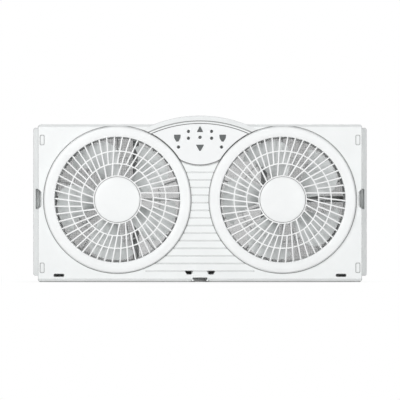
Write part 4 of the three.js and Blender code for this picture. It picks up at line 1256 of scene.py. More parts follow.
@dataclass
class Grille:
    """One front grille with its bezel and cap."""

    layout: Layout
    side: Side
    spokes: int = 50
    spoke_width: float = 2.6 * MM
    depth: float = 5 * MM
    offset: float = 12 * MM
    ring_width: float = 2.4 * MM
    rings: tuple[float, float] = (87 * MM, 64.5 * MM)
    dome: float = 5 * MM
    lap: float = 4 * MM
    seat_r: float = 43.5 * MM
    cap_r: float = 40.4 * MM
    cap_reveal: float = 1.1 * MM  # width and depth of the shadow gap round the cap
    cap_edge: float = 1.6 * MM
    cap_ease: float = 0.3 * MM
    cap_proud: float = 14 * MM
    cap_round: float = 0.55  # the less it is, the flatter the cap's middle
    bezel_thick: float = 8.5 * MM
    bezel_lip: float = 0.8 * MM
    bezel_edge: float = 3.2 * MM
    bezel_crown: float = 0.9 * MM
    bezel_flats: int = 10
    bezel_side: float = 0.6  # start of the rounded edge, as a share of its width
    bezel_play: float = 0.8 * MM  # between the grille's rim and the bezel round it
    brink: float = 0.4 * MM  # size of the eased inner edge of the bezel
    brink_in: float = 1.2 * MM
    crown: float = 0.8 * MM  # rise of a spoke's rounded front
    spoke_back: float = 0.85  # width of a spoke's back as a share of its front
    spoke_steps: int = 12
    root: float = 1 * MM  # how far a spoke runs into the seat
    tip: float = 2.2 * MM  # how far a spoke runs past the opening, into the rim
    rim_play: float = 1 * MM
    round_off: float = 0.8 * MM
    seat_ease: float = 0.6 * MM

    @property
    def rim_y(self) -> float:
        """Front of the grille's rim."""
        return self.layout.face_y - FIT - self.depth

    def front_at(self, radius: float) -> float:
        """Depth of the domed front at a radius."""
        share = min(radius / self.layout.opening_r, 1.0)
        return self.rim_y - self.dome * (1 - share * share)

    def band(self, inner: float, outer: float) -> bpy.types.Object:
        """A ring of the grille with rounded front edges."""
        round_off = min(self.round_off, (outer - inner) / 3)
        part = round_off * 0.3
        front_in, front_out = self.front_at(inner), self.front_at(outer)
        back = self.front_at((inner + outer) / 2) + self.depth
        profile = [
            (inner, back),
            (inner, front_in + round_off),
            (inner + part, front_in + part),
            (inner + round_off, front_in),
            (outer - round_off, front_out),
            (outer - part, front_out + part),
            (outer, front_out + round_off),
            (outer, back),
        ]
        return turned(profile, (0.0, 0.0), Sides.OPENING)

    def spoke_section(self) -> Outline:
        """Half-round fronted section, as width and depth behind the dome."""
        half = self.spoke_width / 2
        back = half * self.spoke_back
        front = [
            (half * math.cos(a), self.crown * (1 - math.sin(a)))
            for a in (math.pi * i / 6 for i in range(7))
        ]
        return [*front, (-back, self.depth), (back, self.depth)]

    def spoke(self, maker: bmesh.types.BMesh, turn: float, start: float, end: float) -> None:
        """Add one straight spoke that misses the axis.

        Args:
            maker: Mesh that takes the spoke.
            turn: Direction of the spoke, in radians.
            start: Distance along the spoke of its inner end.
            end: Distance along the spoke of its outer end.
        """
        along = Vector((math.cos(turn), math.sin(turn)))
        across = Vector((-along.y, along.x))
        stations = []
        for i in range(self.spoke_steps + 1):
            reach = start + (end - start) * i / self.spoke_steps
            middle = along * reach + across * self.offset
            front = self.front_at(middle.length)
            station = []
            for width, back in self.spoke_section():
                point = middle + across * width
                station.append(Vector((point.x, front + back, point.y)))
            stations.append(station)
        add_loft(maker, stations)

    def grille(self, palette: Palette) -> None:
        """Rim, rings, seat and spokes in one moulding."""
        lay = self.layout
        half, ease = self.ring_width / 2, self.seat_ease
        seat_r, level = self.seat_r, self.front_at(self.seat_r)
        groove = self.cap_r + self.cap_reveal
        hoops = [self.band(r - half, r + half) for r in self.rings]
        hoops.append(self.band(lay.opening_r + self.rim_play, lay.opening_r + self.lap))
        profile = [
            (0.0, level),
            (self.cap_r, level),
            (self.cap_r, level + self.cap_reveal),
            (groove, level + self.cap_reveal),
            (groove, level),
            (seat_r - ease, level),
            (seat_r, level + ease),
            (seat_r, level + self.depth),
            (0.0, level + self.depth),
        ]
        rings = gathered([*hoops, turned(profile, (0.0, 0.0), Sides.HUB)])
        maker = bmesh.new()
        end = math.sqrt((lay.opening_r + self.tip) ** 2 - self.offset**2)
        for i in range(self.spokes):
            inner = seat_r - self.root if i % 2 == 0 else self.rings[1]
            start = math.sqrt(inner**2 - self.offset**2)
            self.spoke(maker, -i * FULL_TURN / self.spokes, start, end)
        grille = mixed(rings, Mix.JOIN, piece_of("spokes", maker))
        grille = shaded(shifted(grille, lay.axis(self.side)), CURVED)
        word = self.side.word
        dressed(
            grille, f"grille_{word}", "housing", palette.grille, "grille", f"front_grille_{word}"
        )

    def bezel(self, palette: Palette) -> None:
        """Crowned ring that holds the rim of the grille."""
        lay, edge, crown = self.layout, self.bezel_edge, self.bezel_crown
        rest, roof = lay.face_y - FIT, self.rim_y - FIT
        inner, outer = lay.opening_r, lay.bezel_r
        lap = inner + self.lap + self.bezel_play
        lip = roof - self.bezel_lip
        drop = rest - edge * self.bezel_side
        shoulder = lay.face_y - self.bezel_thick + crown
        profile = [(inner, roof), (lap, roof), (lap, rest), (outer, rest), (outer, drop)]
        for a in quarter(8)[1:]:
            depth = drop - (drop - shoulder) * math.sin(a)
            profile.append((outer - edge * (1 - math.cos(a)), depth))
        start, end, foot = outer - edge, inner + self.brink_in, lip - self.brink
        for i in range(1, self.bezel_flats + 1):
            t = i / self.bezel_flats
            level = shoulder * (1 - t) + foot * t - 4 * t * (1 - t) * crown
            profile.append((start + (end - start) * t, level))
        quarter_brink = self.brink / 4
        profile += [(inner + self.brink, lip - quarter_brink), (inner, lip + 3 * quarter_brink)]
        word = self.side.word
        piece = shaded(turned(profile, lay.axis(self.side), Sides.BEZEL), SHARP)
        dressed(
            piece, f"bezel_{word}", "housing", palette.bezel, "grille", f"grille_bezel_{word}"
        )

    def cap(self, palette: Palette) -> None:
        """Shallow crowned disc in the middle."""
        radius, ease = self.cap_r, self.cap_ease
        back = self.front_at(self.seat_r) - FIT
        shoulder = back - self.cap_edge
        height = shoulder - (self.layout.face_y - self.cap_proud)
        profile = [(0.0, back), (radius - ease, back), (radius, back - ease), (radius, shoulder)]
        profile += [
            (radius * math.cos(a) ** self.cap_round, shoulder - height * math.sin(a))
            for a in quarter(14)[1:]
        ]
        word = self.side.word
        piece = shaded(turned(profile, self.layout.axis(self.side), Sides.OPENING), SHARP)
        dressed(piece, f"cap_{word}", "housing", palette.bezel, "grille", f"grille_cap_{word}")

    def build(self, palette: Palette) -> None:
        """Build the grille, its bezel and its cap."""
        self.grille(palette)
        self.bezel(palette)
        self.cap(palette)


@dataclass
class RearGuard:
    """Rear guard that carries one motor."""

    layout: Layout
    side: Side
    spokes: int = 20
    spoke_width: float = 2.6 * MM
    rim: float = 8 * MM
    ring_r: float = 76 * MM
    ring_width: float = 2.4 * MM
    plate_r: float = 40 * MM
    plate_bore_r: float = 8 * MM
    root: float = 1 * MM  # how far a spoke runs into the plate and the rim
    spoke_sunk: float = 0.1 * MM
    ease: float = 0.5 * MM

    def build(self, palette: Palette) -> None:
        """Rim, ring, motor plate and straight spokes in one moulding."""
        node = f"rear_guard_{self.side.word}"
        low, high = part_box(node)
        centre = self.layout.axis(self.side)
        opening = self.layout.opening_r

        def band(inner: float, outer: float) -> bpy.types.Object:
            """A flat ring with eased edges."""
            ease = self.ease
            profile = [
                (inner, low.y + ease),
                (inner + ease, low.y),
                (outer - ease, low.y),
                (outer, low.y + ease),
                (outer, high.y - ease),
                (outer - ease, high.y),
                (inner + ease, high.y),
                (inner, high.y - ease),
            ]
            return turned(profile, centre, Sides.OPENING)

        half, wide = self.ring_width / 2, self.spoke_width / 2
        deep = (high.y - low.y) / 2 - self.spoke_sunk
        hoops = [
            band(opening - self.spoke_width, opening + self.rim),
            band(self.ring_r - half, self.ring_r + half),
            band(self.plate_bore_r, self.plate_r),
        ]
        middle = Vector((centre[0], (low.y + high.y) / 2, centre[1]))
        part = 0.6  # where the flat of a spoke ends and its bevelled corner starts
        section = [(-1, -part), (-part, -1), (part, -1), (1, -part)]
        section += [(-w, -d) for w, d in section]
        maker = bmesh.new()
        for i in range(self.spokes):
            turn = i * FULL_TURN / self.spokes
            along = Vector((math.cos(turn), 0.0, math.sin(turn)))
            across = Vector((-along.z, 0.0, along.x))
            ends = []
            for reach in (self.plate_r - self.root, opening - self.root):
                at = middle + along * reach
                corners = [across * (w * wide) + Vector((0.0, d * deep, 0.0)) for w, d in section]
                ends.append([at + corner for corner in corners])
            add_loft(maker, ends)
        guard = mixed(gathered(hoops), Mix.JOIN, piece_of("spokes", maker))
        holes = bars(motor_screws(centre), SCREW_HOLE_R, low.y - CUT, high.y + CUT)
        guard = shaded(mixed(guard, Mix.CUT, holes))
        dressed(guard, f"guard_{self.side.word}", "housing", palette.grille, "grille", node)


# ------------------------------------------------------------------ impellers and motors


@dataclass
class Impeller:
    """Five-bladed impeller."""

    layout: Layout
    side: Side
    phase: float
    blades: int = 5
    tip_r: float = 108 * MM
    hub_r: float = 28 * MM
    hub_length: float = 30 * MM
    hub_wall: float = 2 * MM
    boss_r: float = 7 * MM
    bore_r: float = 3.3 * MM
    thick: float = 2 * MM
    blade_arc: float = math.radians(50)
    sweep: float = math.radians(14)
    root_axial: float = 25 * MM
    tip_axial: float = 17 * MM
    root_arc: float = 0.75  # angle of the chord at the root as a share of the tip's
    tip_corner: float = 10 * MM  # how far the corners of the tip are cut back
    edge_share: float = 0.2  # thickness of a blade's edge as a share of its middle's
    camber: float = 3 * MM
    shoulder: float = 0.2  # rounding of the hub's nose as a share of its radius
    blade_steps: int = 14

    def blade_point(self, start: float, s: float, c: float, face: float, mid_y: float) -> Vector:
        """A point of a blade's skin.

        Args:
            start: Angle of the blade, clockwise from the top.
            s: Share of the span, from root to tip.
            c: Share of the chord, from the trailing to the leading edge.
            face: Side of the blade, from -1 to 1.
            mid_y: Depth of the middle of the hub.

        Returns:
            The point about the fan's axis.
        """
        root = self.hub_r - self.hub_wall / 2
        radius = root + (self.tip_r - root) * s
        off = 2 * abs(c - 0.5)  # 0 in the middle of the chord, 1 at both edges
        radius -= self.tip_corner * s**6 * off**4
        axial = self.root_axial + (self.tip_axial - self.root_axial) * s
        chord = self.blade_arc * (self.root_arc + (1 - self.root_arc) * s)
        angle = start - self.sweep * s * s + chord * (c - 0.5)
        camber = self.camber * 4 * c * (1 - c)
        edge = (1 - off**6) * (1 - self.edge_share) + self.edge_share
        depth = mid_y + axial * (0.5 - c) - camber + face * self.thick / 2 * edge
        return Vector((radius * math.sin(angle), depth, radius * math.cos(angle)))

    def blade(self, maker: bmesh.types.BMesh, start: float, mid_y: float) -> None:
        """Add one closed blade."""
        shares = [i / self.blade_steps for i in range(self.blade_steps + 1)]
        stations = []
        for s in shares:
            front = [self.blade_point(start, s, c, -1, mid_y) for c in shares]
            back = [self.blade_point(start, s, c, 1, mid_y) for c in reversed(shares)]
            stations.append(front + back)
        add_loft(maker, stations, strips=True)

    def build(self, palette: Palette) -> None:
        """Hub and blades in one moulding."""
        node = f"impeller_{self.side.word}"
        hub_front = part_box(f"impeller_nut_{self.side.word}")[1].y + FIT
        hub_back = hub_front + self.hub_length
        mid_y = (hub_front + hub_back) / 2
        shoulder = self.hub_r * self.shoulder
        flat, inner = self.hub_r - shoulder, self.hub_r - self.hub_wall
        nose = [
            (flat + shoulder * math.sin(a), hub_front + shoulder * (1 - math.cos(a)))
            for a in quarter(8)
        ]
        profile = [
            (self.bore_r, hub_front),
            *nose,
            (self.hub_r, hub_back),
            (inner, hub_back),
            (inner, hub_front + shoulder + self.hub_wall),
            (self.boss_r, hub_front + 2 * self.hub_wall),
            (self.boss_r, hub_back),
            (self.bore_r, hub_back),
        ]
        hub = turned(profile, (0.0, 0.0), Sides.HUB)
        maker = bmesh.new()
        for i in range(self.blades):
            self.blade(maker, self.phase + i * FULL_TURN / self.blades, mid_y)
        piece = mixed(hub, Mix.JOIN, piece_of("blades", maker))
        piece = shaded(shifted(piece, self.layout.axis(self.side)), CURVED)
        word = self.side.word
        dressed(piece, f"fan_{word}", f"{word}_fan", palette.blade, "blade", node)


@dataclass
class Motor:
    """One motor: drawn bells, stator and screws."""

    layout: Layout
    side: Side
    radius: float = 36 * MM
    bell_wall: float = 1.4 * MM
    bush_r: float = 6.3 * MM
    bore_r: float = 20 * MM
    corner: float = 4 * MM
    vents: int = 10
    vent_r: float = 2.4 * MM
    vent_circle: float = 15 * MM
    ease: float = 0.3 * MM

    def bell(self, node: str, facing: int, palette: Palette) -> None:
        """One drawn end bell with round vents.

        Args:
            node: The solid that it stands for.
            facing: 1 where its closed end is at the back, otherwise -1.
            palette: The finishes.
        """
        low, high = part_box(node)
        end = high.y if facing > 0 else low.y
        length, wall = high.y - low.y, self.bell_wall

        def at(depth: float) -> float:
            """A depth measured inwards from the closed end."""
            return end - facing * depth

        def rolled(radius: float) -> Outline:
            """The rounded corner of a bell, from its flat end to its side."""
            middle = self.radius - self.corner
            return [
                (middle + radius * math.sin(a), at(self.corner - radius * math.cos(a)))
                for a in quarter(6)
            ]

        profile = [(self.bush_r, at(0.0)), *rolled(self.corner), (self.radius, at(length))]
        profile += [(self.radius - wall, at(length)), *reversed(rolled(self.corner - wall))]
        profile.append((self.bush_r, at(wall)))
        centre = self.layout.axis(self.side)
        bell = turned(profile, centre, Sides.MOTOR)
        vents = ring(centre, self.vent_circle, self.vents)
        holes = [bars(vents, self.vent_r, at(-CUT), at(wall + CUT), Sides.VENT)]
        if facing > 0:
            screws = motor_screws(centre)
            holes.append(bars(screws, SCREW_HOLE_R, at(-CUT), at(wall + CUT), Sides.VENT))
        bell = mixed(bell, Mix.CUT, gathered(holes))
        dressed(shaded(bell), f"{node}_drawn", "housing", palette.steel, "steel", node)

    def stator(self, palette: Palette) -> None:
        """Round stack of laminations."""
        node = f"stator_{self.side.word}"
        low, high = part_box(node)
        ease = self.ease
        profile = [
            (self.bore_r, low.y),
            (self.radius - ease, low.y),
            (self.radius, low.y + ease),
            (self.radius, high.y - ease),
            (self.radius - ease, high.y),
            (self.bore_r, high.y),
        ]
        stack = shaded(turned(profile, self.layout.axis(self.side), Sides.MOTOR))
        dressed(stack, f"{node}_stack", "housing", palette.lamination, "lamination", node)

    def build(self, palette: Palette) -> None:
        """Build the bells and the stator."""
        self.bell(f"motor_front_bell_{self.side.word}", -1, palette)
        self.bell(f"motor_rear_bell_{self.side.word}", 1, palette)
        self.stator(palette)


# ------------------------------------------------------------------ extenders and screens


THREAD_LIFT = 0.7  # how far crossing threads lie apart, as a share of their width


@dataclass
class Extender:
    """Sliding end panel with its screen."""

    layout: Layout
    side: Side
    border: float = 11 * MM
    post_depth: float = 34 * MM
    post_chamfer: float = 2.5 * MM
    panel_thick: float = 9 * MM
    grip_pocket: float = 16 * MM
    overlap: float = 4 * MM
    thread: float = 0.28 * MM
    pitch: float = 1.5 * MM
    ease: float = 0.6 * MM

    def block(self, across: Point, deep: Point, up: Point) -> bpy.types.Object:
        """A block on this side.

        Args:
            across: Its two distances off the middle.
            deep: Its two depths.
            up: Its two heights.

        Returns:
            The block.
        """
        low, high = sorted(self.side.value * x for x in across)
        return prism(rectangle(low, high, *up), *deep)

    def frame_piece(self, palette: Palette) -> None:
        """Framed panel and the post that meets the jamb."""
        lay, chamfer = self.layout, self.post_chamfer
        node = f"extender_{self.side.word}"
        low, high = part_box(node)
        screen_low, screen_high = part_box(f"insect_screen_{self.side.word}")
        inner, reach = sorted((abs(low.x), abs(high.x)))
        back = screen_high.y
        front = back - self.panel_thick
        start, foot = lay.rear_y - self.post_depth, lay.body_half + FIT
        panel = self.block((inner, reach - chamfer), (front, back), (low.z, high.z))
        outline = [
            (foot, low.z),
            (reach - chamfer, low.z),
            (reach, low.z + chamfer),
            (reach, high.z - chamfer),
            (reach - chamfer, high.z),
            (foot, high.z),
        ]
        post = prism([(self.side.value * x, z) for x, z in outline], start, lay.rear_y)
        piece = mixed(panel, Mix.JOIN, post)
        left, right = inner + self.border, lay.body_half - self.border
        bottom, top = low.z + self.border, high.z - self.border
        rail, lap = self.border / 2, self.overlap
        panes = [
            self.block((left, right), (front - CUT, back + CUT), up)
            for up in ((bottom, lay.grip_z - rail), (lay.grip_z + rail, top))
        ]
        rebate = self.block(
            (left - lap, right + lap), (screen_low.y - FIT, back + CUT), (bottom - lap, top + lap)
        )
        pocket = self.block(
            (lay.body_half - CUT, lay.body_half + lay.grip_depth),
            (start - CUT, start + self.grip_pocket),
            (lay.grip_z - lay.grip_height / 2, lay.grip_z + lay.grip_height / 2),
        )
        piece = mixed(piece, Mix.CUT, *panes, rebate, pocket)
        piece = shaded(eased(piece, self.ease))
        word = self.side.word
        dressed(piece, f"end_panel_{word}", f"{word}_extender", palette.post, "shell", node)

    def screen(self, palette: Palette) -> None:
        """Woven screen: threads both ways."""
        word = self.side.word
        node = f"insect_screen_{word}"
        low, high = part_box(node)
        mid_y = (low.y + high.y) / 2
        over = mid_y + self.thread * THREAD_LIFT
        maker = bmesh.new()
        for x in steps_between(low.x, high.x, self.pitch):
            add_thread(maker, Vector((x, mid_y, low.z)), Vector((x, mid_y, high.z)), self.thread)
        for z in steps_between(low.z, high.z, self.pitch):
            add_thread(maker, Vector((low.x, over, z)), Vector((high.x, over, z)), self.thread)
        name, body = f"woven_screen_{word}", f"{word}_extender"
        dressed(piece_of(name, maker), name, body, palette.screen, "screen", node)

    def build(self, palette: Palette) -> None:
        """Build the panel and its screen."""
        self.frame_piece(palette)
        self.screen(palette)


def steps_between(low: float, high: float, pitch: float) -> list[float]:
    """Even steps of about a pitch, from just inside one end to just inside the other."""
    count = max(2, round((high - low) / pitch))
    gap = (high - low) / count
    return [low + gap * (i + 0.5) for i in range(count)]


def add_thread(maker: bmesh.types.BMesh, start: Vector, end: Vector, width: float) -> None:
    """Add one straight thread of a screen."""
    along = (end - start).normalized()
    across = along.cross(Vector((0, 1, 0))).normalized() * width / 2
    deep = Vector((0, width / 2, 0))
    corners = [across, deep, -across, -deep]
    add_loft(maker, [[end_point + c for c in corners] for end_point in (start, end)])


@dataclass
class RearScreen:
    """Fine screen behind one rear guard."""

    layout: Layout
    side: Side
    thread: float = 0.32 * MM
    pitch: float = 1.0 * MM
    inner_r: float = 36 * MM
    outer_r: float = 111.4 * MM

    def build(self, palette: Palette) -> None:
        """Threads both ways, cut to a ring."""
        node = f"rear_screen_{self.side.word}"
        low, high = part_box(node)
        cx, cz = self.layout.axis(self.side)
        mid_y = (low.y + high.y) / 2
        over = mid_y + self.thread * THREAD_LIFT
        maker = bmesh.new()
        outer, inner = self.outer_r - FIT, self.inner_r
        for offset in steps_between(-outer, outer, self.pitch):
            half = math.sqrt(max(outer**2 - offset**2, 0.0))
            gap = math.sqrt(max(inner**2 - offset**2, 0.0))
            runs = [(-half, half)] if gap == 0 else [(-half, -gap), (gap, half)]
            for first, last in runs:
                if last - first < self.pitch:
                    continue
                start, end = Vector((cx + offset, mid_y, cz + first)), cz + last
                add_thread(maker, start, Vector((cx + offset, mid_y, end)), self.thread)
                start, end = Vector((cx + first, over, cz + offset)), cx + last
                add_thread(maker, start, Vector((end, over, cz + offset)), self.thread)
        name = f"fine_screen_{self.side.word}"
        dressed(piece_of(node, maker), name, "housing", palette.screen, "screen", node)


# ------------------------------------------------------------------ controls


@dataclass
class Controls:
    """Fascia, keys and lamps."""

    layout: Layout
    panel: Panel
    shield: tuple[float, float] = (11.3 * MM, 11.6 * MM)
    up_key: tuple[float, float] = (10.6 * MM, 9.1 * MM)
    down_key: tuple[float, float] = (13.8 * MM, 10.6 * MM)
    key_gap: float = 0.35 * MM
    stem: float = 4 * MM
    lamp_r: float = 2.75 * MM
    lamp_gap: float = 0.2 * MM
    lamp_rise: float = 0.5 * MM
    pip_sunk: float = 0.1 * MM  # how far a pip starts inside the plate
    fascia_ease: float = 0.25 * MM
    key_height: float = 3.6 * MM
    pillow: tuple[Point, ...] = (
        (1.0, 0.55 * MM),
        (0.975, 0.22 * MM),
        (0.92, 0.06 * MM),
        (0.8, 0.0),
    )  # share of a key's outline, and depth behind its face
    shield_fillet: float = 0.7 * MM
    arrow_fillet: float = 0.35 * MM
    arrow_tip: float = 0.15  # width of an arrow's blunt tip as a share of its foot
    pipe_plate: float = 1.6 * MM
    stem_hole: float = 4.6 * MM
    lamps: tuple[Point, ...] = (
        (-20.7 * MM, 28.1 * MM),
        (20.7 * MM, 28.1 * MM),
        (-20.7 * MM, 40.3 * MM),
        (20.7 * MM, 40.3 * MM),
        (0.0, 38.7 * MM),
        (-38.5 * MM, 56.1 * MM),
        (38.5 * MM, 56.1 * MM),
    )  # sideways, and below the crown

    def shield_outline(self) -> Outline:
        """Flat-topped shield that narrows to a blunt foot."""
        w, h = self.shield[0] / 2, self.shield[1] / 2
        corners = [(w, h), (-w, h), (-w * 0.9, 0.0), (-w * 0.3, -h), (w * 0.3, -h), (w * 0.9, 0.0)]
        return filleted(corners, self.shield_fillet)

    def arrow_outline(self, size: tuple[float, float], up: int) -> Outline:
        """Blunt triangle that points up for 1 and down for -1."""
        w, h = size[0] / 2 * up, size[1] / 2 * up
        tip = w * self.arrow_tip
        return filleted([(-w, -h), (w, -h), (tip, h), (-tip, h)], self.arrow_fillet)

    def keys(self) -> dict[str, Outline]:
        """Outline of each key about its own middle, by its solid."""
        return {
            "button_left": self.shield_outline(),
            "button_right": self.shield_outline(),
            "button_up": self.arrow_outline(self.up_key, 1),
            "button_down": self.arrow_outline(self.down_key, -1),
        }

    def fascia(self, palette: Palette) -> None:
        """Thin plate with holes for the keys and lamps."""
        low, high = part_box("control_fascia")
        lay, panel = self.layout, self.panel
        side_r = lay.bezel_r + panel.fascia_gap + FIT
        shape = panel.outline(panel.fascia_r, side_r, panel.tongue_r)
        plate = eased(prism(shape, low.y, high.y), self.fascia_ease)
        front, back = low.y - CUT, high.y + CUT
        holes = []
        for node, outline in self.keys().items():
            size = max(abs(u) for u, _ in outline)
            grown = scaled(outline, 1 + self.key_gap / size)
            holes.append(prism(moved(grown, *middle_of(node)), front, back))
        places = [(x, lay.crown_z - below) for x, below in self.lamps]
        holes.append(bars(places, self.lamp_r + self.lamp_gap, front, back, Sides.PIN))
        plate = mixed(plate, Mix.CUT, gathered(holes))
        dressed(shaded(plate), "fascia", "housing", palette.fascia, "fascia", "control_fascia")

    def key(self, node: str, outline: Outline, palette: Palette) -> None:
        """One key with a pillowed face and its stem."""
        low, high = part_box(node)
        x, z = middle_of(node)
        levels = [(1.0, self.key_height), *self.pillow]
        stations = [
            [Vector((x + u, low.y + depth, z + v)) for u, v in scaled(outline, factor)]
            for factor, depth in levels
        ]
        maker = bmesh.new()
        add_loft(maker, stations)
        half = self.stem / 2
        stem = prism(plate_at((x, z), half, half), low.y + self.key_height / 2, high.y)
        cap = mixed(piece_of("key", maker), Mix.JOIN, stem)
        body = f"{node.removeprefix('button_')}_button"
        dressed(shaded(cap, SHARP), node.replace("button", "key"), body, palette.key, "key", node)

    def lamp_lenses(self, palette: Palette) -> None:
        """Light pipe: plate and domed lamp pips."""
        low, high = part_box("light_pipe")
        lay = self.layout
        plate_front = high.y - self.pipe_plate
        dome = [
            (self.lamp_r * math.sin(a), low.y + self.lamp_rise * (1 - math.cos(a)))
            for a in quarter(8)
        ]
        profile = [(0.0, low.y), *dome[1:], (self.lamp_r, plate_front), (0.0, plate_front)]
        pipe = gathered(
            [turned(profile, (x, lay.crown_z - below), Sides.PIN) for x, below in self.lamps]
        )
        plate_start = plate_front - self.pip_sunk
        plate = prism(rectangle(low.x, high.x, low.z, high.z), plate_start, high.y)
        half = self.stem_hole / 2
        stems = [
            prism(plate_at(middle_of(node), half, half), plate_front - CUT, high.y + CUT)
            for node in self.keys()
        ]
        plate = mixed(plate, Mix.CUT, gathered(stems))
        pipe = mixed(pipe, Mix.JOIN, plate)
        dressed(shaded(pipe, SHARP), "lamp_lenses", "housing", palette.lens, "lens", "light_pipe")

    def build(self, palette: Palette) -> None:
        """Build the fascia, keys and lamps."""
        self.fascia(palette)
        for node, outline in self.keys().items():
            self.key(node, outline, palette)
        self.lamp_lenses(palette)


# ------------------------------------------------------------------ fasteners and kept solids


@dataclass
class Screws:
    """Pan-head screws with a cross recess."""

    head_r: float = 3.4 * MM
    head: float = 2.2 * MM
    dome: float = 1.2 * MM
    shank_r: float = 1.6 * MM
    point_r: float = 0.7  # radius of the end as a share of the shank's
    point: float = 1 * MM
    recess: float = 1.1 * MM
    slot: tuple[float, float] = (3.6 * MM, 0.8 * MM)

    def build(self, palette: Palette) -> None:
        """Replace every screw node."""
        for node in sorted(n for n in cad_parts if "screw" in n):
            low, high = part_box(node)
            at, shank, seat = middle_of(node), self.shank_r, high.y - self.head
            dome = [
                (self.head_r * math.cos(a), high.y - self.dome * (1 - math.sin(a)))
                for a in quarter(6)[:-1]
            ]
            profile = [(0.0, low.y), (shank * self.point_r, low.y), (shank, low.y + self.point)]
            profile += [(shank, seat), (self.head_r, seat), *dome, (0.0, high.y)]
            screw = turned(profile, at, Sides.PIN)
            length, width = self.slot[0] / 2, self.slot[1] / 2
            cross = [
                prism(plate_at(at, *arm), high.y - self.recess, high.y + CUT)
                for arm in ((length, width), (width, length))
            ]
            screw = mixed(screw, Mix.CUT, *cross)
            dressed(shaded(screw), f"{node}_pan_head", "housing", palette.steel, "steel", node)


KEPT_EASE = 0.2 * MM
KEPT_EASES = {"capacitor": 1.2 * MM, "impeller_nut": 0.8 * MM, "lead_gland": 0.5 * MM}
KEPT_WELD = 0.001 * MM


def restyle_kept(palette: Palette) -> None:
    """Give the solids that stay in view eased edges and their finish."""
    finishes = {
        "impeller_nut": palette.blade,
        "motor_shaft": palette.steel,
        "rotor": palette.lamination,
        "front_bush": palette.bronze,
        "rear_bush": palette.bronze,
        "capacitor": palette.capacitor,
        "motor_lead": palette.lead,
        "control_board": palette.board,
        "lead_gland": palette.rubber,
    }
    for name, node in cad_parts.items():
        if node.hide_render:
            continue
        stem = next((s for s in finishes if name.startswith(s)), None)
        if stem is None:
            LOG.warning("no finish for %s", name)
            continue
        node.data.materials.clear()
        node.data.materials.append(finishes[stem])
        weld = node.modifiers.new("weld", "WELD")
        weld.merge_threshold = KEPT_WELD
        bevel = node.modifiers.new("ease", "BEVEL")
        bevel.limit_method = "ANGLE"
        bevel.angle_limit = math.radians(SHARP)
        bevel.width = KEPT_EASES.get(stem, KEPT_EASE)
        bevel.segments = 3
        LOG.info("kept %s", name)


# ------------------------------------------------------------------ stage


WHITE = (1.0, 1.0, 1.0)


@dataclass(frozen=True)
class Lamp:
    """One soft square lamp."""

    name: str
    at: tuple[float, float, float]
    size: float
    power: float

    def build(self, target: Vector) -> None:
        """Set the lamp up, aimed at a target."""
        light = bpy.data.lights.new(self.name, "AREA")
        light.size = self.size
        light.energy = self.power
        lamp = bpy.data.objects.new(self.name, light)
        lamp.location = self.at
        lamp.rotation_euler = (target - Vector(self.at)).to_track_quat("-Z", "Y").to_euler()
        bpy.context.scene.collection.objects.link(lamp)


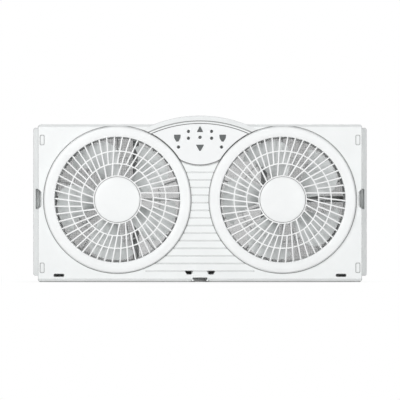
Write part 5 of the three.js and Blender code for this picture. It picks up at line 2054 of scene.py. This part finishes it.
@dataclass(frozen=True)
class Studio:
    """Floor, lamps, world and camera."""

    layout: Layout
    view_width: float = 716 * MM  # what the image shows across at the face
    view_height: float = 146.8 * MM  # middle of the image above the floor
    distance: float = 12.0
    sensor: float = 36.0
    clip_end: float = 60.0
    floor_reach: float = 6.0
    floor_colour: Colour = (0.86, 0.86, 0.86)
    floor_roughness: float = 0.9
    shadow_half: Point = (0.38, 0.3)  # half axes of the oval of floor that keeps the shadow
    shadow_full: float = 0.6  # share of the oval where the shadow starts to fade
    glow_near: float = 0.82  # glow of the floor under the fan, where 1 is plain white
    sky: Colour = (0.97, 0.985, 1.0)
    sky_strength: float = 0.4
    aim_height: float = 0.15
    lamps: tuple[Lamp, ...] = (
        Lamp("key", (-1.1, -2.4, 0.8), 1.2, 28.4),
        Lamp("fill", (0.8, -2.6, 0.36), 0.66, 15.4),
        Lamp("back", (0.9, 2.4, 0.8), 1.6, 42.0),
    )

    def floor(self) -> None:
        """Plain pale floor that reads as white and keeps the fan's shadow."""
        maker = bmesh.new()
        reach = self.floor_reach
        corners = rectangle(-reach, reach, -reach, reach)
        maker.faces.new([maker.verts.new((x, y, 0.0)) for x, y in corners])
        floor = piece_of("floor", maker)
        nodes = Nodes("floor_white")
        nodes.shader.inputs["Base Color"].default_value = (*self.floor_colour, 1.0)
        nodes.shader.inputs["Roughness"].default_value = self.floor_roughness
        oval = nodes.add("ShaderNodeMapping")
        wide, deep = self.shadow_half
        oval.inputs["Scale"].default_value = (1 / wide, 1 / deep, 1.0)
        nodes.link(nodes.place, oval.inputs["Vector"])
        away = nodes.add("ShaderNodeVectorMath", operation="LENGTH")
        nodes.link(oval.outputs["Vector"], away.inputs[0])
        fade = nodes.ranged(
            away.outputs["Value"],
            (self.shadow_full, 1.0),
            (self.glow_near, 1.0),
            interpolation_type="SMOOTHSTEP",
        )
        seen = nodes.add("ShaderNodeLightPath")
        glow = nodes.add("ShaderNodeEmission")
        glow.inputs["Color"].default_value = (*WHITE, 1.0)
        share = nodes.add("ShaderNodeMath", operation="MULTIPLY")
        nodes.link(seen.outputs["Is Camera Ray"], share.inputs[0])
        nodes.link(fade, share.inputs[1])
        mix = nodes.add("ShaderNodeMixShader")
        output = nodes.tree.nodes["Material Output"]
        nodes.link(share.outputs["Value"], mix.inputs["Fac"])
        nodes.link(nodes.shader.outputs["BSDF"], mix.inputs[1])
        nodes.link(glow.outputs["Emission"], mix.inputs[2])
        nodes.link(mix.outputs["Shader"], output.inputs["Surface"])
        floor.data.materials.append(nodes.material)

    def world(self) -> None:
        """Even light, white where the camera sees it."""
        world = bpy.data.worlds.new("studio")
        world.use_nodes = True
        tree = world.node_tree
        light = tree.nodes["Background"]
        light.inputs["Color"].default_value = (*self.sky, 1.0)
        light.inputs["Strength"].default_value = self.sky_strength
        white = tree.nodes.new("ShaderNodeBackground")
        white.inputs["Strength"].default_value = 1.0
        white.inputs["Color"].default_value = (*WHITE, 1.0)
        seen = tree.nodes.new("ShaderNodeLightPath")
        mix = tree.nodes.new("ShaderNodeMixShader")
        tree.links.new(seen.outputs["Is Camera Ray"], mix.inputs["Fac"])
        tree.links.new(light.outputs["Background"], mix.inputs[1])
        tree.links.new(white.outputs["Background"], mix.inputs[2])
        tree.links.new(mix.outputs["Shader"], tree.nodes["World Output"].inputs["Surface"])
        bpy.context.scene.world = world

    def camera(self) -> None:
        """Straight-on camera with a long lens."""
        data = bpy.data.cameras.new("camera")
        data.sensor_width = self.sensor
        data.lens = self.sensor * self.distance / self.view_width
        data.clip_end = self.clip_end
        camera = bpy.data.objects.new("camera", data)
        camera.location = (0.0, self.layout.face_y - self.distance, self.view_height)
        camera.rotation_euler = (QUARTER_TURN, 0.0, 0.0)
        bpy.context.scene.collection.objects.link(camera)
        bpy.context.scene.camera = camera

    def build(self) -> None:
        """Set the stage."""
        self.floor()
        self.world()
        for lamp in self.lamps:
            lamp.build(Vector((0.0, 0.0, self.aim_height)))
        bpy.context.scene.view_settings.view_transform = "Standard"
        self.camera()


def main() -> None:
    """Build the fan and its stage."""
    logging.basicConfig(level=logging.INFO, format="%(name)s: %(message)s")
    layout = Layout.measured()
    palette = Palette.mixed()
    panel = Panel(layout)
    Housing(layout, panel).build(palette)
    Controls(layout, panel).build(palette)
    phases = {Side.LEFT: math.radians(56), Side.RIGHT: math.radians(65)}
    for side in Side:
        Grille(layout, side).build(palette)
        RearGuard(layout, side).build(palette)
        RearScreen(layout, side).build(palette)
        Impeller(layout, side, phases[side]).build(palette)
        Motor(layout, side).build(palette)
        Extender(layout, side).build(palette)
    Screws().build(palette)
    restyle_kept(palette)
    Studio(layout).build()


if __name__ == "__main__":
    main()
